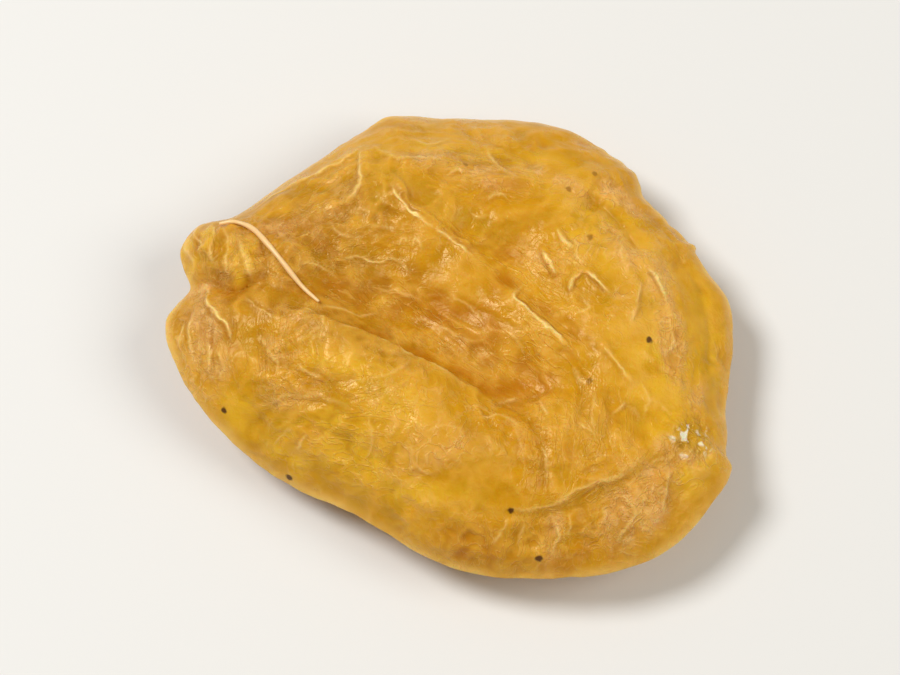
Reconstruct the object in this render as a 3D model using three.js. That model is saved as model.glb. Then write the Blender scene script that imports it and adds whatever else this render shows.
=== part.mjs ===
// A dried apricot: a whole pitted fruit, pressed flat, its skin shrunk into lobes, folds and wrinkles.
// Skin and flesh are one piece. Millimetres, +Z up. The stem end points to -X, and the fruit lies on
// a small flat spot of its underside, at z = 0, with the origin under the middle of its outline.

import * as THREE from "three";

// Driving dimensions of the section from the middle to the rim: how far the top rises and the
// underside drops from the rim before the lobes, how flat each is before it bends to the rim, and
// its roundness at the rim: 1 ends in a sharp edge, 0.5 in a round one
const RIM_HEIGHT = 4.6;
const TOP = { rise: 4.2, flatness: 4.0, roundness: 0.75 };
const UNDERSIDE = { rise: 4.3, flatness: 2.8, roundness: 0.62 };
const MEAN_RADIUS = 19.5;

// Places on the top are written as they look from 70 degrees above, on a plane at the rim's height.
// A point of the raised top looks farther away by this share of how high it is.
const VIEW_SLOPE = 1 / Math.tan((70 * Math.PI) / 180);
const VIEW_DISTANCE = 225;

const RINGS = 31; // of triangles from the middle to the rim: ring n has 6 n corners

// The outline seen from above: degrees from +X towards +Y, and millimetres from the middle
const OUTLINE = [
  [0, 20.9],
  [8, 20.8],
  [14, 19.8],
  [20, 19.3],
  [30, 18.4],
  [38, 18.2],
  [44, 19.1],
  [52, 19.0],
  [62, 19.2],
  [73, 18.8],
  [85, 18.3],
  [97, 18.4],
  [106, 18.7],
  [114, 18.0],
  [125, 17.6],
  [137, 17.9],
  [146, 18.4],
  [152, 19.3],
  [156, 20.9],
  [162, 21.5],
  [166, 20.9],
  [170, 19.9],
  [174, 20.7],
  [178, 21.4],
  [187, 20.7],
  [198, 19.3],
  [214, 17.3],
  [228, 16.0],
  [239, 15.5],
  [249, 15.8],
  [261, 16.8],
  [278, 18.6],
  [292, 20.1],
  [304, 21.8],
  [314, 22.8],
  [325, 23.0],
  [333, 22.95],
  [334.8, 22.15],
  [338, 21.7],
  [344, 20.95],
  [352, 20.8],
];

// Slow waves of the rim up and down: how many round the fruit, how high, and the degrees of a crest
const RIM_WAVES = [
  { turns: 2, rise: 0.6, crest: 165 },
  { turns: 3, rise: 0.5, crest: 40 },
  { turns: 5, rise: 0.35, crest: 250 },
  { turns: 8, rise: 0.2, crest: 20 },
];

// Lobes and hollows: middle, half lengths along and across, degrees of the long way, and rise
const TOP_LOBES = [
  { at: [-7.0, -5.2], along: 10.0, across: 4.6, turn: -32, rise: 1.9 },
  { at: [5.5, -9.0], along: 7.5, across: 4.0, turn: 8, rise: 1.0 },
  { at: [12.5, 0.5], along: 8.5, across: 4.4, turn: 105, rise: 0.9 },
  { at: [-1.5, 12.5], along: 9.0, across: 3.2, turn: -6, rise: 0.8 },
  { at: [-12.5, 8.0], along: 5.5, across: 2.4, turn: 35, rise: 0.7 },
  { at: [-2.2, 1.2], along: 8.5, across: 2.9, turn: -36, rise: -1.9 },
  { at: [4.2, 6.4], along: 4.6, across: 1.9, turn: -42, rise: -0.9 },
  { at: [6.0, -3.2], along: 3.0, across: 2.0, turn: -20, rise: -0.7 },
  { at: [-18.6, 7.0], along: 2.6, across: 1.7, turn: 120, rise: 1.0 },
  { at: [-19.7, 5.6], along: 0.7, across: 0.6, turn: 0, rise: 0.8 },
  { at: [-19.2, 4.3], along: 0.5, across: 0.5, turn: 0, rise: 0.8 },
  { at: [18.2, -8.4], along: 0.9, across: 0.7, turn: 40, rise: -0.7 },
  { at: [9.0, -16.2], along: 9.0, across: 2.0, turn: 14, rise: -0.5 },
];
const UNDERSIDE_LOBES = [
  { at: [1.3, -1.6], along: 8.5, across: 7.0, turn: -10, rise: 0.75 }, // what the fruit lies on
  { at: [-11.5, 1.0], along: 4.5, across: 5.5, turn: 20, rise: 0.35 },
  { at: [9.5, -9.5], along: 7.0, across: 3.5, turn: 30, rise: 0.4 },
  { at: [0.0, 6.5], along: 13.0, across: 2.2, turn: -10, rise: -1.1 },
  { at: [-9.0, -7.5], along: 5.5, across: 2.0, turn: -40, rise: -0.8 },
  { at: [11.5, 8.0], along: 5.0, across: 2.2, turn: 115, rise: -0.8 },
];

// Folds of the skin: the crest's line, its rise (a groove's is negative), how fast it falls away on
// the left and on the right of the line, and how far the crest leans to the left. A lip is steep on
// one side and leans over it.
const TOP_FOLDS = [
  // the big lobe's lip over the long valley
  {
    line: [[-13.5, 2.4], [-9.9, 0.6], [-7.4, -0.2], [-3.8, -2.0], [-0.7, -3.5], [2.9, -5.1]],
    rise: 1.0,
    left: 0.45,
    right: 3.0,
    lean: 0.5,
  },
  // the two sharp ridges that run along the valley's far side
  {
    line: [[-5.4, 13.9], [-4.3, 12.3], [-3.4, 10.6], [-1.0, 8.6], [0.5, 7.6], [3.1, 5.2]],
    rise: 0.6,
    left: 0.4,
    right: 1.8,
    lean: 0.2,
  },
  {
    line: [[5.3, 4.3], [4.4, 3.0], [5.5, 1.9], [6.8, 0.6], [8.4, -1.0], [9.4, -2.6]],
    rise: 0.5,
    left: 0.35,
    right: 1.5,
    lean: 0.15,
  },
  { line: [[10.9, -0.2], [11.6, -1.3], [12.5, -2.7], [13.6, -4.2]], rise: 0.35, left: 0.6, right: 0.5 },
  // the fold along the valley's floor
  { line: [[-4.5, 3.8], [-1.6, 2.0], [1.4, 0.3], [4.1, -2.2]], rise: 0.35, left: 0.7, right: 0.7 },
  { line: [[-11.0, 5.2], [-7.6, 4.4], [-4.6, 4.8], [-2.4, 4.2]], rise: 0.3, left: 0.6, right: 0.6 },
  // the lip above the low band at the front, up to the wet hollow by the notch
  {
    line: [
      [3.0, -13.0], [4.9, -13.6], [6.9, -13.6], [9.3, -12.3],
      [12.0, -11.5], [14.2, -10.1], [16.6, -9.0],
    ],
    rise: 0.45,
    left: 2.6,
    right: 0.35,
  },
  {
    line: [[-9.5, -8.6], [-5.5, -11.2], [-1.5, -12.4], [2.6, -12.7]],
    rise: 0.3,
    left: 2.4,
    right: 1.1,
  },
  // grooves round the end of the big lobe
  {
    line: [[3.6, -5.0], [5.4, -6.2], [6.5, -8.2], [6.7, -10.4], [6.6, -13.0]],
    rise: -0.5,
    left: 0.5,
    right: 0.6,
  },
  { line: [[2.8, -5.5], [4.2, -5.1], [5.6, -4.8], [7.4, -4.4]], rise: -0.5, left: 0.5, right: 0.6 },
  { line: [[2.0, -6.6], [3.8, -7.4], [4.8, -9.2], [4.8, -11.0]], rise: -0.3, left: 0.5, right: 0.6 },
  {
    line: [[-15.4, -7.4], [-13.6, -5.4], [-11.4, -4.6], [-8.6, -5.2]],
    rise: -0.35,
    left: 0.8,
    right: 0.8,
  },
  {
    line: [[-5.2, -7.8], [-3.6, -9.8], [-0.6, -10.8], [2.2, -10.6]],
    rise: -0.22,
    left: 0.9,
    right: 0.9,
  },
  { line: [[-14.8, 0.6], [-14.0, -1.2], [-14.2, -3.4]], rise: -0.35, left: 0.7, right: 0.7 },
  { line: [[-11.0, 0.0], [-10.2, -1.6], [-10.6, -3.4]], rise: -0.3, left: 0.6, right: 0.6 },
  // the roll of skin along the far edge, and its spur
  { line: [[-16.0, 9.0], [-12.1, 12.3], [-9.4, 14.2], [-6.4, 15.6]], rise: 0.5, left: 0.6, right: 1.1 },
  { line: [[-6.8, 16.2], [-6.6, 14.0], [-7.4, 12.0], [-8.4, 10.4]], rise: 0.45, left: 0.7, right: 0.5 },
  { line: [[-6.6, 15.8], [-4.5, 14.6], [-2.2, 14.3], [0.6, 15.2]], rise: 0.4, left: 0.6, right: 0.6 },
  { line: [[1.0, 16.8], [4.2, 15.6], [7.0, 13.4]], rise: -0.35, left: 0.8, right: 0.9 },
  { line: [[9.6, 12.2], [11.4, 10.6], [13.3, 8.2], [14.2, 6.0]], rise: -0.45, left: 0.5, right: 0.9 },
  // rolls along the right-hand rim
  { line: [[13.6, 7.0], [15.2, 4.8], [16.2, 2.4], [16.8, -1.6]], rise: 0.5, left: 0.5, right: 0.9 },
  { line: [[12.7, 7.8], [13.2, 5.6], [13.8, 3.6], [13.2, 0.8]], rise: 0.35, left: 0.5, right: 0.6 },
  { line: [[18.2, 5.0], [19.0, 1.0], [18.9, -4.0]], rise: -0.35, left: 0.7, right: 0.8 },
  // hooked wrinkles between the ridges and the right-hand rim
  { line: [[6.6, 7.4], [7.2, 6.0], [7.9, 4.8]], rise: 0.25, left: 0.35, right: 0.35 },
  { line: [[7.8, 8.8], [8.4, 7.8], [9.2, 6.7]], rise: 0.25, left: 0.35, right: 0.35 },
  {
    line: [[8.8, 3.5], [8.9, 4.2], [9.9, 5.3], [10.9, 4.5], [12.0, 3.2]],
    rise: 0.3,
    left: 0.35,
    right: 0.35,
  },
  { line: [[9.1, -2.4], [9.6, -5.0], [9.0, -8.0]], rise: -0.35, left: 0.6, right: 0.6 },
  { line: [[11.2, -4.0], [11.6, -6.4], [10.8, -9.0]], rise: -0.3, left: 0.6, right: 0.6 },
  { line: [[13.6, -5.0], [13.8, -7.4], [12.6, -9.6]], rise: -0.25, left: 0.5, right: 0.6 },
  // pleats of the front band
  { line: [[4.4, -14.0], [4.0, -15.8], [2.8, -17.4]], rise: 0.25, left: 0.4, right: 0.5 },
  { line: [[6.4, -14.2], [6.6, -16.0], [6.0, -18.0]], rise: 0.3, left: 0.4, right: 0.5 },
  { line: [[8.8, -13.8], [9.4, -15.6], [9.2, -18.0]], rise: 0.25, left: 0.4, right: 0.5 },
  { line: [[13.4, -12.0], [13.0, -14.0], [11.8, -17.0]], rise: 0.35, left: 0.5, right: 0.6 },
  { line: [[15.2, -11.2], [15.2, -13.2], [14.2, -15.4]], rise: 0.3, left: 0.5, right: 0.5 },
  { line: [[2.0, -13.6], [1.4, -15.4], [0.2, -16.8]], rise: 0.25, left: 0.4, right: 0.5 },
  // puckers of the stem end
  { line: [[-20.6, 3.4], [-18.6, 3.9], [-16.4, 3.4], [-14.6, 4.6]], rise: -0.7, left: 0.6, right: 0.7 },
  { line: [[-18.6, 8.6], [-17.6, 7.2], [-17.2, 5.0]], rise: -0.5, left: 0.5, right: 0.6 },
  { line: [[-20.4, 6.4], [-19.0, 6.2], [-18.0, 5.4]], rise: 0.4, left: 0.5, right: 0.5 },
  { line: [[-14.6, 7.4], [-14.0, 5.8], [-14.2, 3.6]], rise: -0.4, left: 0.5, right: 0.8 },
  { line: [[-16.3, 7.8], [-15.5, 5.8], [-15.0, 4.0]], rise: 0.45, left: 0.4, right: 0.5 },
  { line: [[-18.7, 8.4], [-18.3, 6.9], [-18.6, 5.4]], rise: 0.45, left: 0.35, right: 0.4 },
  { line: [[-19.8, 8.0], [-19.6, 6.8], [-20.0, 5.6]], rise: 0.4, left: 0.35, right: 0.35 },
  { line: [[-17.6, 8.2], [-17.2, 6.6], [-17.4, 4.6]], rise: 0.4, left: 0.3, right: 0.4 },
  { line: [[-18.9, 4.2], [-18.2, 1.7], [-17.2, 0.6], [-16.7, -0.6]], rise: 0.4, left: 0.4, right: 0.5 },
];
const UNDERSIDE_FOLDS = [
  // the seam of the fruit, from the stem end towards the tip
  {
    line: [[-20, 4.6], [-13, 6.0], [-6, 7.2], [2, 6.6], [10, 3.6], [17, -2.0]],
    rise: -0.9,
    left: 1.0,
    right: 1.3,
  },
  // folds beside it
  { line: [[-13, 10.6], [-8, 10.4], [-3, 11.0], [2, 10.6]], rise: 0.6, left: 0.7, right: 1.8 },
  { line: [[4, 14.5], [7, 11.0], [12, 8.4], [16, 4.4]], rise: 0.6, left: 0.7, right: 1.8 },
  { line: [[-15, -8.0], [-10, -6.8], [-5, -8.6], [-1, -11.4]], rise: 0.7, left: 1.6, right: 0.7 },
  { line: [[-4, -14.0], [2, -11.0], [8, -10.2], [14, -12.2]], rise: -0.6, left: 0.9, right: 0.9 },
  { line: [[-8, 15.2], [-6, 12.8], [-6.4, 10.0]], rise: -0.5, left: 0.8, right: 0.9 },
  { line: [[9, -5.6], [13, -5.2], [18.5, -8.2]], rise: 0.55, left: 0.7, right: 1.2 },
  { line: [[-18, -2.0], [-13.4, -1.4], [-9, -3.4]], rise: -0.5, left: 0.8, right: 0.8 },
  { line: [[8, -17.0], [9.4, -14.6], [9.0, -12.0]], rise: 0.4, left: 0.7, right: 0.7 },
];
const FOLD_SOFTNESS = 0.3; // rounding of every crest
const FOLD_WIDTH_MIN = 0.7; // about one triangle
const FOLD_TAPER = 0.22; // share of a line's length over which a fold starts and ends

// Wrinkles of the skin, square to the surface: rise, and the size of one wrinkle
const PUCKERS = { rise: 0.12, round: 5.2, length: 8 }; // across the rim, about 30 of them
const CRINKLES = { rise: 0.12, size: 4.0, bend: 1.0 }; // bend: how far a crinkle wanders
const RIM_ROLLS = { rise: 0.12, round: 1.4, width: 3.2 }; // along the rim

const degrees = Math.PI / 180;

function smoothstep(low, high, value) {
  const t = Math.min(Math.max((value - low) / (high - low), 0), 1);
  return t * t * (3 - 2 * t);
}

// A number from 0 to 1 for each cell of a grid
function cellNumber(i, j, k, seed) {
  const wave = Math.sin(i * 127.1 + j * 311.7 + k * 74.7 + seed * 53.3) * 43758.5453;
  return wave - Math.floor(wave);
}

// Smooth noise of about -1 to 1, with a slope of its own at each cell's corners
function noise(x, y, z, seed) {
  const [i, j, k] = [Math.floor(x), Math.floor(y), Math.floor(z)];
  const [fx, fy, fz] = [x - i, y - j, z - k];
  const ease = (t) => t * t * t * (t * (6 * t - 15) + 10);
  const [ux, uy, uz] = [ease(fx), ease(fy), ease(fz)];
  let sum = 0;
  for (const dx of [0, 1])
    for (const dy of [0, 1])
      for (const dz of [0, 1]) {
        const slopes = [0, 1, 2].map((n) => 2 * cellNumber(i + dx, j + dy, k + dz, seed + n) - 1);
        const share = (dx ? ux : 1 - ux) * (dy ? uy : 1 - uy) * (dz ? uz : 1 - uz);
        sum += share * (slopes[0] * (fx - dx) + slopes[1] * (fy - dy) + slopes[2] * (fz - dz));
      }
  return 1.6 * sum;
}

// Noise folded into crests: 1 on a crest line, falling to about -1 between them
const crests = (x, y, z, seed) => 1 - 3 * Math.abs(noise(x, y, z, seed));

// The outline's radius in a direction, by a smooth curve through OUTLINE
function outlineRadius(angle) {
  const count = OUTLINE.length;
  const turned = (((angle / degrees) % 360) + 360) % 360;
  const at = (n) => [
    OUTLINE[((n % count) + count) % count][0] + 360 * Math.floor(n / count),
    OUTLINE[((n % count) + count) % count][1],
  ];
  let n = 0;
  while (n + 1 < count && OUTLINE[n + 1][0] <= turned) n += 1;
  const [before, start, end, after] = [at(n - 1), at(n), at(n + 1), at(n + 2)];
  const span = end[0] - start[0];
  const t = (turned - start[0]) / span;
  const startSlope = ((end[1] - before[1]) / (end[0] - before[0])) * span;
  const endSlope = ((after[1] - start[1]) / (after[0] - start[0])) * span;
  const [t2, t3] = [t * t, t * t * t];
  return (
    (2 * t3 - 3 * t2 + 1) * start[1] +
    (t3 - 2 * t2 + t) * startSlope +
    (3 * t2 - 2 * t3) * end[1] +
    (t3 - t2) * endSlope
  );
}

// The section from the middle to the rim as a function of the share of its length: gives the share
// of the radius and the share of the height
const SECTION_STEPS = 600;
function makeSection({ rise, flatness, roundness }) {
  const steps = [];
  for (let n = 0, length = 0; n <= SECTION_STEPS; n += 1) {
    const out = 1 - (1 - n / SECTION_STEPS) ** 2;
    const up = (1 - out ** flatness) ** roundness;
    if (n > 0) {
      const last = steps[n - 1];
      length += Math.hypot((out - last.out) * MEAN_RADIUS, (up - last.up) * rise);
    }
    steps.push({ out, up, length });
  }
  const whole = steps[SECTION_STEPS].length;
  return (share) => {
    let n = 1;
    while (n < SECTION_STEPS && steps[n].length < share * whole) n += 1;
    const [low, high] = [steps[n - 1], steps[n]];
    const t = (share * whole - low.length) / (high.length - low.length);
    const out = low.out + t * (high.out - low.out);
    const up = low.up + t * (high.up - low.up);
    return { out, up, fromRim: (1 - share) * whole };
  };
}

function lobesAt(lobes, x, y) {
  return lobes.reduce((sum, { at, along, across, turn, rise }) => {
    const [dx, dy] = [x - at[0], y - at[1]];
    const [c, s] = [Math.cos(turn * degrees), Math.sin(turn * degrees)];
    const [u, v] = [(dx * c + dy * s) / along, (dy * c - dx * s) / across];
    return sum + rise * Math.exp(-(u * u + v * v));
  }, 0);
}

// A place as it looks, moved to where it lies on the raised top
function onTop([seenX, seenY], lobes) {
  let [x, y] = [seenX, seenY];
  for (let step = 0; step < 3; step += 1) {
    const out = Math.min(Math.hypot(x, y) / MEAN_RADIUS, 1);
    const up = (1 - out ** TOP.flatness) ** TOP.roundness;
    const height = up * (TOP.rise + lobesAt(lobes, x, y));
    const nearer = 1 - height / VIEW_DISTANCE;
    [x, y] = [seenX * nearer, seenY * nearer - VIEW_SLOPE * height];
  }
  return [x, y];
}

// Each fold's line as a smooth curve in short steps
function tracedFolds(folds) {
  return folds.map((fold) => {
    const points = fold.line.map(([x, y]) => new THREE.Vector2(x, y));
    const steps = 6 * (points.length - 1);
    return { ...fold, path: new THREE.SplineCurve(points).getPoints(steps) };
  });
}

// The rise of all folds at a point, and how far they push it sideways
function foldsAt(folds, x, y) {
  const sum = { rise: 0, dx: 0, dy: 0 };
  for (const { path, rise, left, right, lean = 0 } of folds) {
    let nearest = { distance: Infinity };
    for (let n = 0; n + 1 < path.length; n += 1) {
      const [a, b] = [path[n], path[n + 1]];
      const [ex, ey, px, py] = [b.x - a.x, b.y - a.y, x - a.x, y - a.y];
      const t = Math.min(Math.max((px * ex + py * ey) / (ex * ex + ey * ey), 0), 1);
      const distance = Math.hypot(px - t * ex, py - t * ey);
      if (distance < nearest.distance) {
        nearest = { distance, ex, ey, side: ex * py - ey * px, share: (n + t) / (path.length - 1) };
      }
    }
    const width = Math.max(nearest.side > 0 ? left : right, FOLD_WIDTH_MIN);
    const rounded = Math.hypot(nearest.distance, FOLD_SOFTNESS) - FOLD_SOFTNESS;
    const { share } = nearest;
    const ends = smoothstep(0, FOLD_TAPER, share) * smoothstep(0, FOLD_TAPER, 1 - share);
    const nearness = ends * Math.exp(-rounded / width);
    const step = Math.hypot(nearest.ex, nearest.ey);
    sum.rise += rise * nearness;
    sum.dx -= (lean * nearness * nearest.ey) / step;
    sum.dy += (lean * nearness * nearest.ex) / step;
  }
  return sum;
}

function makeSide(up, shape, lobes, folds) {
  return { up, rise: shape.rise, sectionAt: makeSection(shape), lobes, folds: tracedFolds(folds) };
}

const topLobes = TOP_LOBES.map((lobe) => ({ ...lobe, at: onTop(lobe.at, []) }));
const topFolds = TOP_FOLDS.map((fold) => {
  return { ...fold, line: fold.line.map((at) => onTop(at, topLobes)) };
});
const topSide = makeSide(1, TOP, topLobes, topFolds);
const underside = makeSide(-1, UNDERSIDE, UNDERSIDE_LOBES, UNDERSIDE_FOLDS);

// A point of the surface without its wrinkles, by the direction from the middle and the share of the
// way to the rim
function formAt(side, angle, share) {
  const { out, up, fromRim } = side.sectionAt(share);
  const radius = out * outlineRadius(angle);
  const [x, y] = [radius * Math.cos(angle), radius * Math.sin(angle)];
  const rim = RIM_WAVES.reduce((sum, { turns, rise, crest }) => {
    return sum + rise * out ** turns * Math.cos(turns * (angle - crest * degrees));
  }, RIM_HEIGHT);
  const inside = 1 - out ** 10; // folds die out at the rim itself, where top and underside meet
  const folds = foldsAt(side.folds, x, y);
  const height = up * (side.rise + lobesAt(side.lobes, x, y)) + inside * folds.rise;
  return {
    x: x + inside * folds.dx,
    y: y + inside * folds.dy,
    z: rim + side.up * height,
    angle,
    out,
    fromRim: side.up * fromRim,
  };
}

// How far the wrinkles lift the skin at a point of the form
function wrinklesAt({ x, y, z, angle, out, fromRim }) {
  const [cx, cy] = [Math.cos(angle), Math.sin(angle)];
  const [pucker, roll] = [PUCKERS.round, RIM_ROLLS.round];
  const inside = 1 - 0.75 * out ** 16; // wrinkles are lower at the rim
  const nearRim = inside * smoothstep(0.45, 0.9, out);
  const puckers = PUCKERS.rise * crests(cx * pucker, cy * pucker, fromRim / PUCKERS.length, 1);
  const rolls = RIM_ROLLS.rise * crests(cx * roll, cy * roll, fromRim / RIM_ROLLS.width, 5);
  const [u, v, w] = [x / CRINKLES.size, y / CRINKLES.size, z / CRINKLES.size];
  const bendU = CRINKLES.bend * noise(u / 2, v / 2, w / 2, 11);
  const bendV = CRINKLES.bend * noise(u / 2, v / 2, w / 2, 17);
  const crinkles = CRINKLES.rise * inside * crests(u + bendU, v + bendV, w, 23);
  return nearRim * (puckers + rolls) + crinkles;
}

// Corners and triangles of a round sheet: ring n has 6 n corners, the last ring is the rim
function sheetPoints(side, rings) {
  const points = [];
  for (let ring = 0; ring <= rings; ring += 1) {
    const around = Math.max(6 * ring, 1);
    for (let n = 0; n < around; n += 1) {
      points.push(formAt(side, (2 * Math.PI * n) / around, ring / rings));
    }
  }
  return points;
}

function sheetTriangles(rings) {
  const start = (ring) => (ring === 0 ? 0 : 1 + 3 * ring * (ring - 1));
  const corner = (ring, n) => start(ring) + (ring === 0 ? 0 : n % (6 * ring));
  const triangles = [];
  for (let ring = 1; ring <= rings; ring += 1)
    for (let sector = 0; sector < 6; sector += 1)
      for (let n = 0; n < ring; n += 1) {
        const outer = sector * ring + n;
        const inner = sector * (ring - 1) + n;
        triangles.push([corner(ring, outer), corner(ring, outer + 1), corner(ring - 1, inner)]);
        if (n + 1 < ring) {
          triangles.push([corner(ring - 1, inner), corner(ring, outer + 1), corner(ring - 1, inner + 1)]);
        }
      }
  return triangles;
}

// The top sheet and the underside sheet, which share the corners of the rim
function makeApricotGeometry() {
  const top = sheetPoints(topSide, RINGS);
  const rimStart = top.length - 6 * RINGS;
  const forms = [...top, ...sheetPoints(underside, RINGS).slice(0, rimStart)];
  const below = (corner) => (corner < rimStart ? corner + top.length : corner);
  const faces = sheetTriangles(RINGS);
  const index = [
    ...faces.flat(),
    ...faces.flatMap(([a, b, c]) => [below(a), below(c), below(b)]),
  ];
  const geometry = new THREE.BufferGeometry();
  geometry.setIndex(index);
  const places = forms.flatMap(({ x, y, z }) => [x, y, z]);
  geometry.setAttribute("position", new THREE.Float32BufferAttribute(places, 3));
  geometry.computeVertexNormals();
  const { position, normal } = geometry.attributes;
  forms.forEach((form, n) => {
    const lift = wrinklesAt(form);
    const x = form.x + lift * normal.getX(n);
    const y = form.y + lift * normal.getY(n);
    const z = form.z + lift * normal.getZ(n);
    position.setXYZ(n, x, y, Math.max(z, 0)); // what would pass the table is pressed flat
  });
  geometry.computeVertexNormals();
  geometry.computeBoundingBox();
  return geometry;
}

function makeApricot() {
  const skin = new THREE.MeshStandardMaterial({ color: 0xdba03c, roughness: 0.42, metalness: 0 });
  const apricot = new THREE.Mesh(makeApricotGeometry(), skin);
  apricot.name = "apricot";
  const middle = apricot.geometry.boundingBox.getCenter(new THREE.Vector3());
  apricot.position.set(-middle.x, -middle.y, 0);
  return apricot;
}

const driedApricot = new THREE.Group();
driedApricot.add(makeApricot());

export default driedApricot;
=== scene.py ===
"""A dried apricot, lying on a pale floor, seen from 70 degrees above.

The skin's mesh follows the same outline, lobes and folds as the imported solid, in much smaller
triangles, and adds the finer wrinkles. Lengths of the fruit are in millimetres until the mesh is made.
"""

import math

import bpy
import numpy as np
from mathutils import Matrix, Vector


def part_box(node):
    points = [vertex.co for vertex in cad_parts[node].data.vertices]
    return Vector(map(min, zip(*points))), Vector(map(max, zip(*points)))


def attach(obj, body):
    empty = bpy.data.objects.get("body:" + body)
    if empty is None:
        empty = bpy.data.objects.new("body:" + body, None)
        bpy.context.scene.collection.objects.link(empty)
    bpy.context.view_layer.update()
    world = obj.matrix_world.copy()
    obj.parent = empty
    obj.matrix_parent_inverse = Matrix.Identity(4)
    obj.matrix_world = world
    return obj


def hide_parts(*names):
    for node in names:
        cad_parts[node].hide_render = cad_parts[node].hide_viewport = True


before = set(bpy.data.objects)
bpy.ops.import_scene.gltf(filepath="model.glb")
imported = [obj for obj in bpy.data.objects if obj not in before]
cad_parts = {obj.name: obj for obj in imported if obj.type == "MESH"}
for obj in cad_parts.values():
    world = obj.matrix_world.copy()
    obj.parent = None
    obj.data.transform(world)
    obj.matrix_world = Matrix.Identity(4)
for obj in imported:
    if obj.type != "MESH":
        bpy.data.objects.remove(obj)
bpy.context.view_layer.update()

MM = 0.001
MIDDLE = (0, 0, 0.005)  # of the fruit, where the camera and the lights are aimed
RINGS = 126  # of triangles from the middle to the rim

# Driving dimensions of the section from the middle to the rim
RIM_HEIGHT = 4.6
TOP = {"rise": 4.2, "flatness": 4.0, "roundness": 0.75}
UNDERSIDE = {"rise": 4.3, "flatness": 2.8, "roundness": 0.62}
MEAN_RADIUS = 19.5

# Places on the top are written as they look from the camera, on a plane at the rim's height, because
# a point of the raised top looks farther away by VIEW_SLOPE of how high it is
VIEW_ELEVATION = 70
VIEW_DISTANCE = 225
VIEW_SLOPE = 1 / math.tan(math.radians(VIEW_ELEVATION))

# The outline seen from above: degrees from +X towards +Y, and millimetres from the middle
OUTLINE = [
    (0, 20.9), (8, 20.8), (14, 19.8), (20, 19.3), (30, 18.4), (38, 18.2), (44, 19.1), (52, 19.0),
    (62, 19.2), (73, 18.8), (85, 18.3), (97, 18.4), (106, 18.7), (114, 18.0), (125, 17.6),
    (137, 17.9), (146, 18.4), (152, 19.3), (156, 20.9), (162, 21.5), (166, 20.9), (170, 19.9),
    (174, 20.7), (178, 21.4), (187, 20.7), (198, 19.3), (214, 17.3), (228, 16.0), (239, 15.5),
    (249, 15.8), (261, 16.8), (278, 18.6), (292, 20.1), (304, 21.8), (314, 22.8), (325, 23.0),
    (333, 22.95), (334.8, 22.15), (338, 21.7), (344, 20.95), (352, 20.8),
]

# Slow waves of the rim up and down: how many round the fruit, how high, and the degrees of a crest
RIM_WAVES = [(2, 0.6, 165), (3, 0.5, 40), (5, 0.35, 250), (8, 0.2, 20)]

# Lobes and hollows: middle, half lengths along and across, degrees of the long way, and rise
TOP_LOBES = [
    ((-7.0, -5.2), 10.0, 4.6, -32, 1.9),
    ((5.5, -9.0), 7.5, 4.0, 8, 1.0),
    ((12.5, 0.5), 8.5, 4.4, 105, 0.9),
    ((-1.5, 12.5), 9.0, 3.2, -6, 0.8),
    ((-12.5, 8.0), 5.5, 2.4, 35, 0.7),
    ((-2.2, 1.2), 8.5, 2.9, -36, -1.9),
    ((4.2, 6.4), 4.6, 1.9, -42, -0.9),
    ((6.0, -3.2), 3.0, 2.0, -20, -0.7),
    ((-18.6, 7.0), 2.6, 1.7, 120, 1.0),
    ((-19.7, 5.6), 0.7, 0.6, 0, 0.8),
    ((-19.2, 4.3), 0.5, 0.5, 0, 0.8),
    ((18.2, -8.4), 0.9, 0.7, 40, -0.7),
    ((9.0, -16.2), 9.0, 2.0, 14, -0.5),
]
UNDERSIDE_LOBES = [
    ((1.3, -1.6), 8.5, 7.0, -10, 0.75),
    ((-11.5, 1.0), 4.5, 5.5, 20, 0.35),
    ((9.5, -9.5), 7.0, 3.5, 30, 0.4),
    ((0.0, 6.5), 13.0, 2.2, -10, -1.1),
    ((-9.0, -7.5), 5.5, 2.0, -40, -0.8),
    ((11.5, 8.0), 5.0, 2.2, 115, -0.8),
]

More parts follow.
